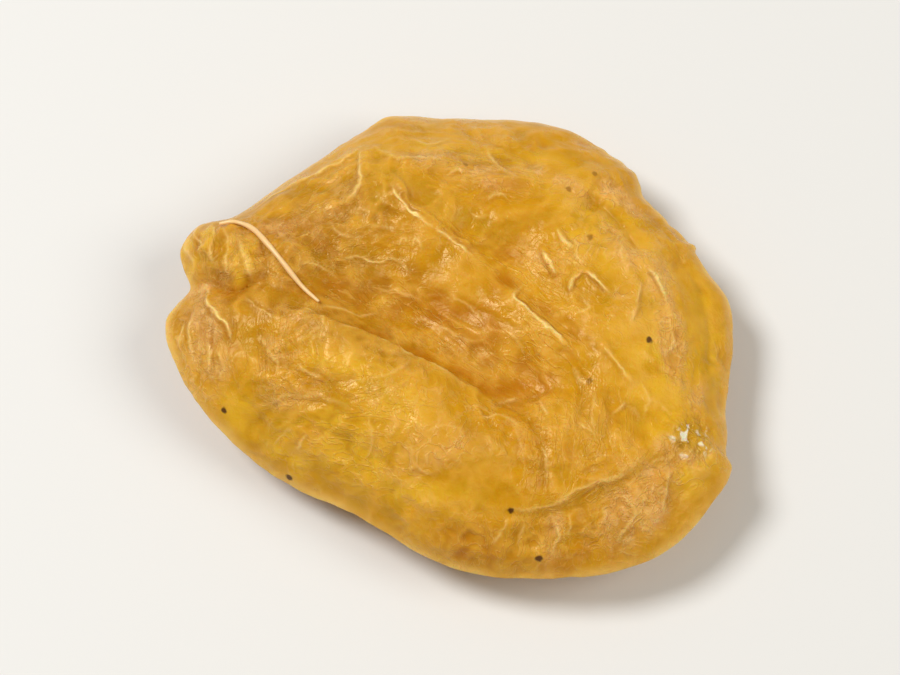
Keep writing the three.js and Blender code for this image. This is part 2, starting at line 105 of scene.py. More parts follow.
# Folds of the skin: the crest's line, its rise, how fast it falls away on the left and on the right,
# and how far the crest leans to the left
TOP_FOLDS = [
    # the big lobe's lip over the long valley
    ([(-13.5, 2.4), (-9.9, 0.6), (-7.4, -0.2), (-3.8, -2.0), (-0.7, -3.5), (2.9, -5.1)],
     1.0, 0.45, 3.0, 0.5),
    # the two sharp ridges that run along the valley's far side
    ([(-5.4, 13.9), (-4.3, 12.3), (-3.4, 10.6), (-1.0, 8.6), (0.5, 7.6), (3.1, 5.2)], 0.6, 0.4, 1.8, 0.2),
    ([(5.3, 4.3), (4.4, 3.0), (5.5, 1.9), (6.8, 0.6), (8.4, -1.0), (9.4, -2.6)], 0.5, 0.35, 1.5, 0.15),
    ([(10.9, -0.2), (11.6, -1.3), (12.5, -2.7), (13.6, -4.2)], 0.35, 0.6, 0.5, 0),
    # the fold along the valley's floor
    ([(-4.5, 3.8), (-1.6, 2.0), (1.4, 0.3), (4.1, -2.2)], 0.35, 0.7, 0.7, 0),
    ([(-11.0, 5.2), (-7.6, 4.4), (-4.6, 4.8), (-2.4, 4.2)], 0.3, 0.6, 0.6, 0),
    # the lip above the low band at the front, up to the wet hollow by the notch
    ([(3.0, -13.0), (4.9, -13.6), (6.9, -13.6), (9.3, -12.3), (12.0, -11.5), (14.2, -10.1), (16.6, -9.0)],
     0.45, 2.6, 0.35, 0),
    ([(-9.5, -8.6), (-5.5, -11.2), (-1.5, -12.4), (2.6, -12.7)], 0.3, 2.4, 1.1, 0),
    # grooves round the end of the big lobe
    ([(3.6, -5.0), (5.4, -6.2), (6.5, -8.2), (6.7, -10.4), (6.6, -13.0)], -0.5, 0.5, 0.6, 0),
    ([(2.8, -5.5), (4.2, -5.1), (5.6, -4.8), (7.4, -4.4)], -0.5, 0.5, 0.6, 0),
    ([(2.0, -6.6), (3.8, -7.4), (4.8, -9.2), (4.8, -11.0)], -0.3, 0.5, 0.6, 0),
    ([(-15.4, -7.4), (-13.6, -5.4), (-11.4, -4.6), (-8.6, -5.2)], -0.35, 0.8, 0.8, 0),
    ([(-5.2, -7.8), (-3.6, -9.8), (-0.6, -10.8), (2.2, -10.6)], -0.22, 0.9, 0.9, 0),
    ([(-14.8, 0.6), (-14.0, -1.2), (-14.2, -3.4)], -0.35, 0.7, 0.7, 0),
    ([(-11.0, 0.0), (-10.2, -1.6), (-10.6, -3.4)], -0.3, 0.6, 0.6, 0),
    # the roll of skin along the far edge, and its spur
    ([(-16.0, 9.0), (-12.1, 12.3), (-9.4, 14.2), (-6.4, 15.6)], 0.5, 0.6, 1.1, 0),
    ([(-6.8, 16.2), (-6.6, 14.0), (-7.4, 12.0), (-8.4, 10.4)], 0.45, 0.7, 0.5, 0),
    ([(-6.6, 15.8), (-4.5, 14.6), (-2.2, 14.3), (0.6, 15.2)], 0.4, 0.6, 0.6, 0),
    ([(1.0, 16.8), (4.2, 15.6), (7.0, 13.4)], -0.35, 0.8, 0.9, 0),
    ([(9.6, 12.2), (11.4, 10.6), (13.3, 8.2), (14.2, 6.0)], -0.45, 0.5, 0.9, 0),
    # rolls along the right-hand rim
    ([(13.6, 7.0), (15.2, 4.8), (16.2, 2.4), (16.8, -1.6)], 0.5, 0.5, 0.9, 0),
    ([(12.7, 7.8), (13.2, 5.6), (13.8, 3.6), (13.2, 0.8)], 0.35, 0.5, 0.6, 0),
    ([(18.2, 5.0), (19.0, 1.0), (18.9, -4.0)], -0.35, 0.7, 0.8, 0),
    # hooked wrinkles between the ridges and the right-hand rim
    ([(6.6, 7.4), (7.2, 6.0), (7.9, 4.8)], 0.25, 0.35, 0.35, 0),
    ([(7.8, 8.8), (8.4, 7.8), (9.2, 6.7)], 0.25, 0.35, 0.35, 0),
    ([(8.8, 3.5), (8.9, 4.2), (9.9, 5.3), (10.9, 4.5), (12.0, 3.2)], 0.3, 0.35, 0.35, 0),
    ([(9.1, -2.4), (9.6, -5.0), (9.0, -8.0)], -0.35, 0.6, 0.6, 0),
    ([(11.2, -4.0), (11.6, -6.4), (10.8, -9.0)], -0.3, 0.6, 0.6, 0),
    ([(13.6, -5.0), (13.8, -7.4), (12.6, -9.6)], -0.25, 0.5, 0.6, 0),
    # pleats of the front band
    ([(4.4, -14.0), (4.0, -15.8), (2.8, -17.4)], 0.25, 0.4, 0.5, 0),
    ([(6.4, -14.2), (6.6, -16.0), (6.0, -18.0)], 0.3, 0.4, 0.5, 0),
    ([(8.8, -13.8), (9.4, -15.6), (9.2, -18.0)], 0.25, 0.4, 0.5, 0),
    ([(13.4, -12.0), (13.0, -14.0), (11.8, -17.0)], 0.35, 0.5, 0.6, 0),
    ([(15.2, -11.2), (15.2, -13.2), (14.2, -15.4)], 0.3, 0.5, 0.5, 0),
    ([(2.0, -13.6), (1.4, -15.4), (0.2, -16.8)], 0.25, 0.4, 0.5, 0),
    # puckers of the stem end
    ([(-20.6, 3.4), (-18.6, 3.9), (-16.4, 3.4), (-14.6, 4.6)], -0.7, 0.6, 0.7, 0),
    ([(-18.6, 8.6), (-17.6, 7.2), (-17.2, 5.0)], -0.5, 0.5, 0.6, 0),
    ([(-20.4, 6.4), (-19.0, 6.2), (-18.0, 5.4)], 0.4, 0.5, 0.5, 0),
    ([(-14.6, 7.4), (-14.0, 5.8), (-14.2, 3.6)], -0.4, 0.5, 0.8, 0),
    ([(-16.3, 7.8), (-15.5, 5.8), (-15.0, 4.0)], 0.45, 0.4, 0.5, 0),
    ([(-18.7, 8.4), (-18.3, 6.9), (-18.6, 5.4)], 0.45, 0.35, 0.4, 0),
    ([(-19.8, 8.0), (-19.6, 6.8), (-20.0, 5.6)], 0.4, 0.35, 0.35, 0),
    ([(-17.6, 8.2), (-17.2, 6.6), (-17.4, 4.6)], 0.4, 0.3, 0.4, 0),
    ([(-18.9, 4.2), (-18.2, 1.7), (-17.2, 0.6), (-16.7, -0.6)], 0.4, 0.4, 0.5, 0),
]
UNDERSIDE_FOLDS = [
    # the seam of the fruit, from the stem end towards the tip
    ([(-20, 4.6), (-13, 6.0), (-6, 7.2), (2, 6.6), (10, 3.6), (17, -2.0)], -0.9, 1.0, 1.3, 0),
    # folds beside it
    ([(-13, 10.6), (-8, 10.4), (-3, 11.0), (2, 10.6)], 0.6, 0.7, 1.8, 0),
    ([(4, 14.5), (7, 11.0), (12, 8.4), (16, 4.4)], 0.6, 0.7, 1.8, 0),
    ([(-15, -8.0), (-10, -6.8), (-5, -8.6), (-1, -11.4)], 0.7, 1.6, 0.7, 0),
    ([(-4, -14.0), (2, -11.0), (8, -10.2), (14, -12.2)], -0.6, 0.9, 0.9, 0),
    ([(-8, 15.2), (-6, 12.8), (-6.4, 10.0)], -0.5, 0.8, 0.9, 0),
    ([(9, -5.6), (13, -5.2), (18.5, -8.2)], 0.55, 0.7, 1.2, 0),
    ([(-18, -2.0), (-13.4, -1.4), (-9, -3.4)], -0.5, 0.8, 0.8, 0),
    ([(8, -17.0), (9.4, -14.6), (9.0, -12.0)], 0.4, 0.7, 0.7, 0),
]
FOLD_SOFTNESS = 0.12  # rounding of every crest
FOLD_TAPER = 0.22  # share of a line's length over which a fold starts and ends
FOLD_PAINT_WIDTH = 0.5  # half the width of what is painted as a crest or a groove

# Wrinkles of the skin, square to the surface: rise, and the size of one wrinkle
PUCKERS = {"rise": 0.12, "round": 5.2, "length": 8}
CRINKLES = {"rise": 0.12, "size": 4.0, "bend": 1.0}
RIM_ROLLS = {"rise": 0.12, "round": 1.4, "width": 3.2}

# Finer ones, every way, along the rim, along the valley and down the stem end
EVERY_WAY = {"rise": 0.1, "size": 1.8}
BENDS = {"strength": 0.8, "size": 3}  # of the finer wrinkles, sideways
SMALL = {"rise": 0.045, "size": 0.9}
RINGED = {"rise": 0.03, "round": 4, "width": 0.9}
LANES = {"rise": 0.05, "length": 4.5, "width": 0.85}
PLEATS = {"rise": 0.12, "length": 2.8, "width": 0.8}
PATCH_SIZE = 6  # of the skin that is crumpled, or smooth
VALLEY = {"at": (1, 0.6), "along": 12, "across": 4.5, "turn": -34}  # the middle is in the turned axes
CREASE_RELIEF = {"rise": 0.03, "width": 0.17}

RIM_BEAD = {"rise": 0.1, "width": 0.3}  # the pinched edge of the rim
RIM_SCALLOPS = {"rise": 0.09, "round": 9, "width": 1.2}
# Nicks and points of the rim: degrees, half the width in degrees, and how far it stands out
RIM_NICKS = [(20.8, 0.8, 0.3), (28.0, 1.2, -0.12), (40.0, 1.4, 0.15), (45.5, 1.5, -0.15), (53.0, 1.5, 0.12)]

# Creases that catch the light, thin as a hair: line, strength, and the side of it that is dark
LEFT, RIGHT = 1, -1
CREASES = [
    # the far edge and its spur
    ([(-15.6, 9.7), (-12.7, 12.3), (-10.4, 13.4), (-9.0, 14.2), (-6.9, 15.4)], 1.2, RIGHT),
    ([(-7.0, 15.2), (-6.9, 13.8), (-7.2, 12.2), (-8.1, 10.9)], 1.3, RIGHT),
    ([(-6.3, 15.7), (-4.9, 14.8), (-3.4, 14.5), (-2.3, 14.8), (-0.4, 14.3)], 0.8, RIGHT),
    ([(2.5, 15.8), (3.5, 14.1), (5.1, 13.0)], 0.5, LEFT),
    ([(-0.5, 13.3), (0.3, 13.8), (1.0, 13.4)], 0.6, RIGHT),
    ([(-3.4, 16.3), (-1.6, 15.9), (-0.2, 16.6)], 0.5, RIGHT),
    ([(1.3, 10.2), (2.0, 9.7), (2.7, 10.0)], 0.6, RIGHT),
    ([(2.6, 11.4), (3.2, 11.9), (4.2, 11.5)], 0.5, RIGHT),
    # the two ridges
    ([(-4.9, 12.3), (-4.3, 11.3), (-3.7, 10.3), (-2.7, 9.4), (-1.5, 8.4)], 2.2, LEFT),
    ([(-1.6, 8.5), (-0.7, 7.9), (0.3, 7.2), (1.6, 6.2)], 1.3, LEFT),
    ([(5.2, 4.2), (4.5, 3.0), (5.4, 2.0), (6.6, 0.8), (7.7, -0.2), (8.4, -1.1)], 1.6, LEFT),
    ([(4.3, 0.5), (4.9, -0.7), (5.3, -1.5)], 0.5, LEFT),
    # hooks
    ([(7.9, 8.6), (8.3, 7.9), (9.0, 6.9)], 1.2, LEFT),
    ([(9.1, 6.8), (9.6, 6.2), (10.1, 5.7)], 0.4, RIGHT),
    ([(10.1, 5.3), (10.9, 4.4), (11.9, 3.4)], 1.7, RIGHT),
    ([(9.9, 5.4), (9.2, 4.6), (8.8, 4.1), (8.8, 3.5)], 1.3, LEFT),
    ([(9.6, 3.1), (10.4, 2.3), (9.1, 1.6)], 0.6, RIGHT),
    ([(6.7, 7.2), (7.4, 5.8), (7.8, 5.0)], 1.3, RIGHT),
    ([(-4.2, 7.3), (-3.8, 7.9), (-3.5, 7.5)], 0.7, RIGHT),
    ([(-3.2, 7.0), (-3.0, 7.8), (-2.7, 7.5), (-2.4, 6.9)], 0.7, RIGHT),
    # the right-hand side
    ([(12.7, 7.2), (12.8, 6.4), (13.1, 5.5)], 0.6, RIGHT),
    ([(14.6, 5.2), (15.2, 4.6), (15.8, 3.6), (16.2, 2.3)], 1.5, RIGHT),
    ([(14.1, 4.4), (13.8, 2.8), (13.4, 0.8)], 0.8, LEFT),
    ([(11.4, -1.0), (11.9, -1.8), (12.4, -2.6), (13.3, -3.8)], 1.7, RIGHT),
    ([(16.3, 0.3), (16.6, -0.6), (16.2, -1.6)], 0.6, LEFT),
    ([(11.2, 10.9), (12.3, 9.7), (13.3, 8.2)], 0.4, LEFT),
    ([(9.0, -2.4), (9.3, -3.0), (9.9, -3.9)], 0.9, LEFT),
    ([(10.4, -3.8), (10.5, -5.2), (10.4, -6.4), (10.6, -9.0)], 0.4, RIGHT),
    ([(9.2, -6.8), (9.9, -7.4), (10.7, -8.0)], 0.6, RIGHT),
    ([(11.7, -6.3), (12.2, -5.8), (12.8, -5.3)], 0.8, RIGHT),
    ([(13.9, -3.6), (14.4, -5.2), (14.0, -7.0)], 0.4, LEFT),
    # the valley
    ([(-8.8, 5.9), (-7.5, 6.5), (-6.4, 6.1), (-5.6, 6.0), (-4.7, 6.4), (-3.8, 5.8), (-3.1, 4.8)],
     1.1, RIGHT),
    ([(-11.6, 5.8), (-9.9, 5.5), (-8.8, 4.7)], 0.6, RIGHT),
    ([(-10.2, 2.3), (-8.4, 2.1), (-7.0, 1.6), (-5.4, 1.9)], 0.5, RIGHT),
    ([(-6.4, 3.9), (-4.2, 3.6), (-2.2, 2.6)], 0.4, RIGHT),
    ([(-3.6, 1.7), (-1.2, 0.9), (0.6, -0.2), (2.6, -0.6)], 0.5, RIGHT),
    ([(-0.4, 3.4), (1.2, 2.4), (2.4, 1.0)], 0.4, LEFT),
    ([(-7.4, 8.8), (-5.8, 8.9), (-4.2, 8.6)], 0.4, RIGHT),
    ([(-9.4, 9.2), (-8.3, 8.2), (-6.4, 8.0)], 0.5, RIGHT),
    # the big lobe, from its lip to the front
    ([(-9.9, 0.1), (-7.6, -0.1), (-5.6, -0.9), (-3.8, -1.9), (-2.0, -2.8), (0.0, -3.8), (2.7, -5.0)],
     0.7, LEFT),
    ([(-11.5, 2.0), (-10.4, 1.4), (-9.9, 0.3), (-10.2, -1.1)], 0.7, LEFT),
    ([(-11.8, -2.3), (-11.0, -3.0), (-9.9, -3.3)], 0.6, RIGHT),
    ([(-9.6, -3.8), (-6.6, -3.6), (-4.6, -3.2), (-3.1, -2.5)], 0.3, RIGHT),
    ([(-15.2, -5.6), (-13.9, -5.1), (-12.7, -4.5), (-11.2, -4.4), (-9.2, -4.9), (-7.6, -5.7)], 0.45, RIGHT),
    ([(-10.8, -7.2), (-11.6, -8.2)], 0.7, RIGHT),
    ([(-13.6, -8.0), (-12.4, -7.0), (-11.8, -6.9)], 0.4, RIGHT),
    ([(-6.4, -6.0), (-6.0, -8.0), (-6.8, -9.6)], 0.4, LEFT),
    ([(-3.2, -8.2), (-2.8, -9.8), (-1.4, -10.6)], 0.35, RIGHT),
    ([(-2.0, -7.6), (-0.6, -7.0), (0.6, -7.4)], 0.3, LEFT),
    ([(3.2, -5.3), (4.0, -5.0), (4.8, -4.8)], 0.7, RIGHT),
    ([(1.4, -6.6), (3.0, -6.2), (4.3, -6.3), (5.4, -7.6)], 0.5, LEFT),
    ([(6.3, -5.1), (6.7, -5.6), (7.2, -6.3)], 0.7, RIGHT),
    ([(6.6, -8.4), (6.9, -9.8), (7.0, -12.0)], 0.6, RIGHT),
    ([(4.4, -7.2), (5.2, -8.6), (5.2, -10.2)], 0.4, LEFT),
    # the stem end
    ([(-18.5, 3.9), (-18.3, 2.2), (-17.6, 1.1), (-16.8, 0.2), (-16.6, -0.8)], 1.4, RIGHT),
    ([(-15.7, 2.9), (-14.8, 2.2), (-13.9, 1.7), (-12.9, 1.0)], 0.7, LEFT),
    ([(-14.7, 0.2), (-13.9, -0.9), (-13.3, -2.0), (-13.1, -3.4)], 0.7, RIGHT),
    ([(-15.9, -1.4), (-16.5, -2.3)], 0.6, LEFT),
    ([(-20.2, 0.3), (-20.3, -1.5)], 0.8, LEFT),
    ([(-19.2, 1.8), (-19.6, -0.4), (-19.2, -2.8)], 0.8, RIGHT),
    ([(-18.4, -0.6), (-18.0, -2.0), (-18.2, -3.4)], 0.8, LEFT),
    ([(-17.6, -1.2), (-17.0, -2.6), (-17.4, -3.6)], 0.6, RIGHT),
    ([(-20.2, 7.3), (-20.1, 6.2), (-19.3, 4.8)], 0.8, RIGHT),
    ([(-16.3, 7.4), (-15.5, 5.8), (-15.0, 4.2)], 0.6, RIGHT),
    ([(-19.3, 8.4), (-19.4, 7.4), (-18.9, 6.4), (-19.1, 5.6)], 0.9, RIGHT),
    ([(-18.3, 8.4), (-17.9, 7.2), (-18.2, 6.0), (-17.8, 5.2)], 0.9, LEFT),
    ([(-17.3, 8.0), (-16.9, 6.6), (-17.1, 5.4), (-16.6, 4.4)], 0.8, RIGHT),
    ([(-20.9, 5.9), (-20.3, 5.0), (-20.4, 4.1)], 0.7, LEFT),
    # the lip above the front band, and the band's pleats
    ([(3.5, -13.1), (4.9, -13.6), (6.8, -13.6), (8.3, -12.8), (9.5, -12.1), (12.0, -11.5), (13.2, -10.5),
      (14.2, -9.9)], 0.55, RIGHT),
    ([(14.4, -10.5), (15.4, -10.3), (16.2, -9.9)], 0.5, RIGHT),
    ([(4.2, -14.1), (3.6, -15.0), (2.8, -15.9)], 0.6, RIGHT),
    ([(5.2, -14.4), (5.0, -15.2), (4.6, -16.2)], 0.5, RIGHT),
    ([(7.1, -14.1), (7.8, -15.5), (7.1, -16.9)], 0.7, RIGHT),
    ([(8.5, -14.0), (8.6, -14.9), (8.4, -15.8)], 0.5, RIGHT),
    ([(15.8, -11.3), (15.5, -12.9), (15.3, -14.5)], 0.6, LEFT),
    ([(12.6, -13.2), (13.2, -14.4), (12.6, -15.6), (11.8, -16.6)], 0.7, RIGHT),
    ([(11.4, -13.4), (11.0, -14.6), (11.4, -15.6)], 0.5, LEFT),
]
CREASE_WIDTH = 0.11  # half the width of the pale line of a crease
CREASE_REACH = (0.45, 0.8)  # distances between which a crease fades out

# Tones of the top, from what is crumpled and pale with painted sheen, through what is clear and a painted
# glow of light, to painted shade in deep orange and dull brown: middle, half lengths along and across,
# degrees of the long way, and strength
# pale crumpled skin, partly painted sheen of its crumples
PALE_AND_SHEEN = [
    ((-18.3, -0.8), 3.2, 1.7, -75, 1.3), ((-11.6, 1.2), 1.7, 1.3, 0, 0.7),
    ((-13.4, -1.6), 1.8, 0.8, -60, 0.7), ((-0.8, -9.0), 3.8, 2.2, 10, 0.8),
    ((-6.5, -5.6), 3.4, 1.5, -30, 0.45), ((12.6, 11.4), 2.2, 0.8, -42, 1.4),
    ((13.2, -14.4), 3.2, 1.9, 50, 1.8), ((7.3, -15.4), 1.8, 0.7, 80, 1.4),
    ((16.3, -1.2), 2.4, 0.8, 92, 1.6), ((18.2, -5.6), 1.5, 0.9, 80, 1.2),
    ((2.6, 13.2), 3.4, 1.5, -20, 0.9), ((7.5, 13.2), 2.4, 1.0, -28, 1.0), ((-2.6, 14.6), 2.2, 0.8, 0, 0.7),
    ((15.8, 3.0), 3.8, 0.9, 98, 1.4), ((-12.4, -5.0), 2.8, 1.1, -20, 0.7),
    ((-10.4, 9.8), 4.0, 1.6, 38, 0.45), ((1.0, -0.8), 2.8, 0.8, -32, 0.3), ((1.0, 5.8), 1.8, 1.4, 0, 0.5),
    ((-17.9, 3.0), 1.4, 0.8, 40, 0.8), ((9.2, -6.4), 3.8, 2.2, 70, 0.25), ((16.6, -9.9), 1.8, 1.0, 0, 1.2),
    ((-14.0, 8.0), 2.4, 1.4, 30, 0.6), ((-19.0, 3.2), 1.0, 0.6, 40, 1.2), ((6.6, 6.4), 1.8, 0.7, -50, 0.8),
    ((9.6, 7.2), 1.7, 1.2, 0, 0.5), ((12.8, 6.8), 2.2, 1.3, -50, 1.1), ((13.2, 2.8), 2.6, 1.6, 95, 0.6),
    ((9.5, 11.0), 2.4, 1.3, -40, 0.6), ((-4.6, 2.4), 2.6, 0.8, -10, 0.4),
]
CLEAR = [
    ((-15.2, -0.4), 1.8, 0.9, 95, 1.0), ((-15.6, -3.9), 1.5, 0.6, 5, 0.7),
    ((-11.8, -6.4), 2.6, 0.9, 5, 0.9), ((18.5, 1.0), 4.6, 0.8, 95, 0.7), ((18.8, -4.4), 2.0, 0.6, 90, 0.8),
    ((-5.6, 12.2), 2.4, 1.0, 75, 1.0), ((-1.4, 11.3), 3.4, 1.1, -32, 0.9),
    ((1.8, 9.3), 2.4, 0.8, -20, 0.8), ((15.4, -15.6), 2.6, 0.6, 48, 0.4),
    ((-6.2, -12.2), 4.0, 1.0, -33, 0.6), ((-17.6, 6.4), 1.4, 0.6, 80, 0.9),
    ((12.2, 9.7), 2.6, 0.5, -48, 1.0), ((14.0, -7.0), 2.0, 1.0, 90, 0.5), ((0.6, -11.8), 2.6, 0.9, 0, 0.6),
    ((5.6, 15.2), 2.6, 1.0, -15, 0.5),
]
# painted light: the big lobe, the right-hand side and the lumps of the stem end painted brighter and
# yellower, as if lit
PAINTED_LIGHT = [
    ((-5.0, -5.6), 6.0, 2.2, -30, 1.0), ((-1.5, -12.2), 4.5, 1.2, -10, 0.8),
    ((12.0, 7.6), 4.5, 2.6, -55, 1.1), ((13.4, -1.5), 5.5, 2.6, 95, 0.7),
    ((19.0, -1.0), 7.0, 1.6, 92, 1.1), ((15.0, -7.0), 3.0, 2.2, 90, 0.7),
    ((9.5, -10.2), 5.0, 1.6, 18, 0.2), ((0.5, 15.2), 7.0, 1.4, -6, 0.7),
    ((-9.4, -2.0), 3.0, 1.6, -20, 0.4), ((-8.6, -8.2), 4.8, 1.9, -34, 1.1),
    ((17.4, -11.4), 2.4, 1.4, 50, 1.2), ((-15.6, -6.0), 2.6, 1.3, -42, 1.1),
    ((10.8, 10.8), 1.4, 1.0, 0, 1.0), ((15.8, 1.0), 5.6, 1.2, 96, 1.4), ((7.4, 13.0), 2.8, 1.6, -30, 1.1),
    ((9.6, 7.8), 1.9, 1.4, 0, 0.7), ((-8.6, 12.4), 3.6, 1.0, 38, 0.5), ((-12.6, -8.6), 3.6, 0.9, -42, 0.6),
    ((-20.0, 6.6), 0.9, 0.45, 80, 1.8), ((-15.6, 5.8), 2.0, 0.6, 75, 1.9),
    ((-18.4, 6.8), 1.3, 0.5, 75, 1.8), ((-19.8, 4.6), 0.9, 0.5, 60, 1.9),
    ((-16.8, 6.4), 1.2, 0.5, 75, 1.6),
]
# deep orange, much of it painted shade: in the valley, beside the lip, in the grooves and on the low front
# band
DEEP_AND_SHADE = [
    ((4.0, 5.2), 3.2, 1.3, 80, 1.0), ((7.5, 1.4), 2.6, 0.9, -45, 0.9), ((1.0, -3.1), 3.6, 0.8, -26, 1.4),
    ((-5.6, -0.1), 3.4, 0.6, -22, 0.9), ((3.6, -15.8), 6.6, 1.5, 2, 0.55),
    ((7.0, -18.0), 9.0, 1.0, 5, 0.5), ((-8.4, 3.4), 4.6, 1.5, -14, 0.7), ((0.8, 1.0), 6.0, 2.0, -36, 0.95),
    ((5.8, -3.4), 2.4, 1.2, -10, 0.8), ((-20.4, 3.2), 1.6, 0.6, 0, 1.2), ((-19.1, 6.6), 1.4, 0.3, 80, 1.2),
    ((-17.5, 6.6), 1.4, 0.3, 80, 1.0), ((-16.6, 3.4), 2.0, 0.5, 20, 1.0),
    ((0.6, -15.6), 3.0, 0.9, -22, 0.6), ((-9.6, 7.6), 3.2, 0.9, 20, 0.4),
    ((10.9, -1.0), 1.6, 0.9, -50, 0.5),
]
# painted shade: the left end, the valley and the lip of the top painted darker and browner
DULL_SHADE = [
    ((-12.0, 7.6), 8.0, 5.0, 30, 1.2), ((-18.5, 1.6), 4.0, 4.2, 0, 0.8), ((-7.0, 4.6), 7.0, 2.6, -8, 0.9),
    ((-6.2, -0.8), 4.6, 1.8, -26, 1.5), ((1.8, -0.8), 5.0, 2.0, -30, 1.1),
    ((-11.0, 1.6), 2.6, 1.4, -20, 0.8), ((-9.4, -0.8), 3.6, 1.6, -20, 0.7),
    ((0.5, -5.0), 3.0, 1.5, -30, 0.4), ((5.0, -15.6), 6.0, 1.8, 2, 0.3), ((-5.0, 11.0), 4.0, 2.0, 0, 0.5),
]

# Which way the fine wrinkles of the top run: degrees, and the places as middle, half lengths and turn
LAYS = {
    35: [((-10.5, 10.0), 6.5, 3.0, 38), ((-13.0, 6.0), 3.0, 1.8, 20), ((11.0, -12.4), 5.0, 1.5, 25)],
    -42: [
        ((-1.0, 1.0), 8.0, 1.8, -36), ((3.0, 7.0), 5.0, 1.6, -40), ((9.0, 5.0), 2.6, 1.8, -50),
        ((7.5, -0.5), 4.0, 2.5, -50),
    ],
    88: [
        ((-18.0, -1.5), 3.4, 3.0, 90), ((-13.5, -1.5), 2.6, 1.8, 90), ((16.4, -1.0), 3.5, 1.0, 92),
        ((-18.0, 6.0), 2.2, 2.6, 80), ((10.0, -7.5), 4.0, 3.5, 90), ((5.0, -16.0), 11.0, 2.0, 3),
        ((6.2, -9.5), 3.0, 1.5, 90),
    ],
    -4: [
        ((2.0, 13.8), 8.0, 2.8, -8), ((-6.5, 6.8), 4.5, 1.8, 0), ((-9.0, -5.6), 5.0, 2.4, -10),
        ((-8.0, -9.4), 5.0, 1.8, -30), ((-8.5, 3.4), 4.0, 1.3, -8),
    ],
}
SPECKS = [(-17.1, -5.8), (-12.4, -10.2), (4.3, -13.6), (6.2, -17.5), (14.6, -0.4)]
FAINT_SPECKS = [(10.4, 8.0), (10.9, 13.2), (0.9, 14.3), (8.8, 12.0), (10.2, -3.4), (16.8, -9.6)]
WET_SPOT = {"at": (17.3, -8.8), "radius": 1.9, "rise": 0.1}
STEM_NUB = {"at": (-18.6, 6.4), "radius": 2.2, "rise": 0.1}

# A pale fibre stuck to the skin, from the stem end inwards
STRAND = [(-17.6, 8.1), (-16.4, 8.6), (-15.2, 8.3), (-14.2, 7.3), (-12.8, 5.6), (-11.5, 4.0), (-10.1, 2.6)]
STRAND_RADIUS = 0.21
STRAND_RISE = 0.1  # of its middle line above the skin


def smoothstep(low, high, value):
    t = np.clip((value - low) / (high - low), 0, 1)
    return t * t * (3 - 2 * t)


def cell_number(i, j, k, seed):
    """A number from 0 to 1 for each cell of a grid."""
    wave = np.sin(i * 127.1 + j * 311.7 + k * 74.7 + seed * 53.3) * 43758.5453
    return wave - np.floor(wave)


def noise(x, y, z, seed):
    """Smooth noise of about -1 to 1, with a slope of its own at each cell's corners."""
    i, j, k = np.floor(x), np.floor(y), np.floor(z)
    fx, fy, fz = x - i, y - j, z - k
    ux, uy, uz = (t * t * t * (t * (6 * t - 15) + 10) for t in (fx, fy, fz))
    total = np.zeros_like(fx)
    for dx in (0, 1):
        for dy in (0, 1):
            for dz in (0, 1):
                slopes = [2 * cell_number(i + dx, j + dy, k + dz, seed + n) - 1 for n in (0, 1, 2)]
                share = (ux if dx else 1 - ux) * (uy if dy else 1 - uy) * (uz if dz else 1 - uz)
                total += share * (slopes[0] * (fx - dx) + slopes[1] * (fy - dy) + slopes[2] * (fz - dz))
    return 1.6 * total


def noise_round(size, angle, inwards, seed):
    return noise(size * np.cos(angle), size * np.sin(angle), inwards, seed)


def crests(value, softness=0.03):
    """Noise folded into crests: about 1 on a crest line, falling to about -1 between them."""
    return 1 - 3 * (np.sqrt(value * value + softness * softness) - softness)


def outline_radius(angle):
    """The outline's radius in each direction, by a smooth curve through OUTLINE."""
    turns = np.array([point[0] for point in OUTLINE], float)
    radii = np.array([point[1] for point in OUTLINE], float)
    turns = np.concatenate([turns[-2:] - 360, turns, turns[:3] + 360])
    radii = np.concatenate([radii[-2:], radii, radii[:3]])
    turned = np.degrees(angle) % 360
    n = np.searchsorted(turns, turned, side="right") - 1
    span = turns[n + 1] - turns[n]
    t = (turned - turns[n]) / span
    start_slope = (radii[n + 1] - radii[n - 1]) / (turns[n + 1] - turns[n - 1]) * span
    end_slope = (radii[n + 2] - radii[n]) / (turns[n + 2] - turns[n]) * span
    return (
        (2 * t**3 - 3 * t**2 + 1) * radii[n]
        + (t**3 - 2 * t**2 + t) * start_slope
        + (3 * t**2 - 2 * t**3) * radii[n + 1]
        + (t**3 - t**2) * end_slope
    )


def section_height(shape, out):
    """Share of the height, by the share of the radius."""
    return (1 - out ** shape["flatness"]) ** shape["roundness"]


def section_at(shape, share):
    """Share of the radius, share of the height and distance from the rim, by the share of the
    section's length from the middle to the rim."""
    out = 1 - np.linspace(1, 0, 601) ** 2
    up = section_height(shape, out)
    steps = np.hypot(np.diff(out) * MEAN_RADIUS, np.diff(up) * shape["rise"])
    length = np.concatenate([[0], np.cumsum(steps)])
    wanted = share * length[-1]
    return np.interp(wanted, length, out), np.interp(wanted, length, up), length[-1] - wanted


def lobes_at(lobes, x, y):
    total = np.zeros_like(x)
    for at, along, across, turn, rise in lobes:
        dx, dy = x - at[0], y - at[1]
        c, s = math.cos(math.radians(turn)), math.sin(math.radians(turn))
        u, v = (dx * c + dy * s) / along, (dy * c - dx * s) / across
        total += rise * np.exp(-(u * u + v * v))
    return total


def on_top(places, lobes=()):
    """Places as they look, moved to where they lie on the raised top."""
    seen = np.array(places, float)
    at = seen.copy()
    for _ in range(3):
        out = np.minimum(np.hypot(at[:, 0], at[:, 1]) / MEAN_RADIUS, 1)
        height = section_height(TOP, out) * (TOP["rise"] + lobes_at(lobes, at[:, 0], at[:, 1]))
        at = seen * (1 - height / VIEW_DISTANCE)[:, None]
        at[:, 1] -= VIEW_SLOPE * height
    return at


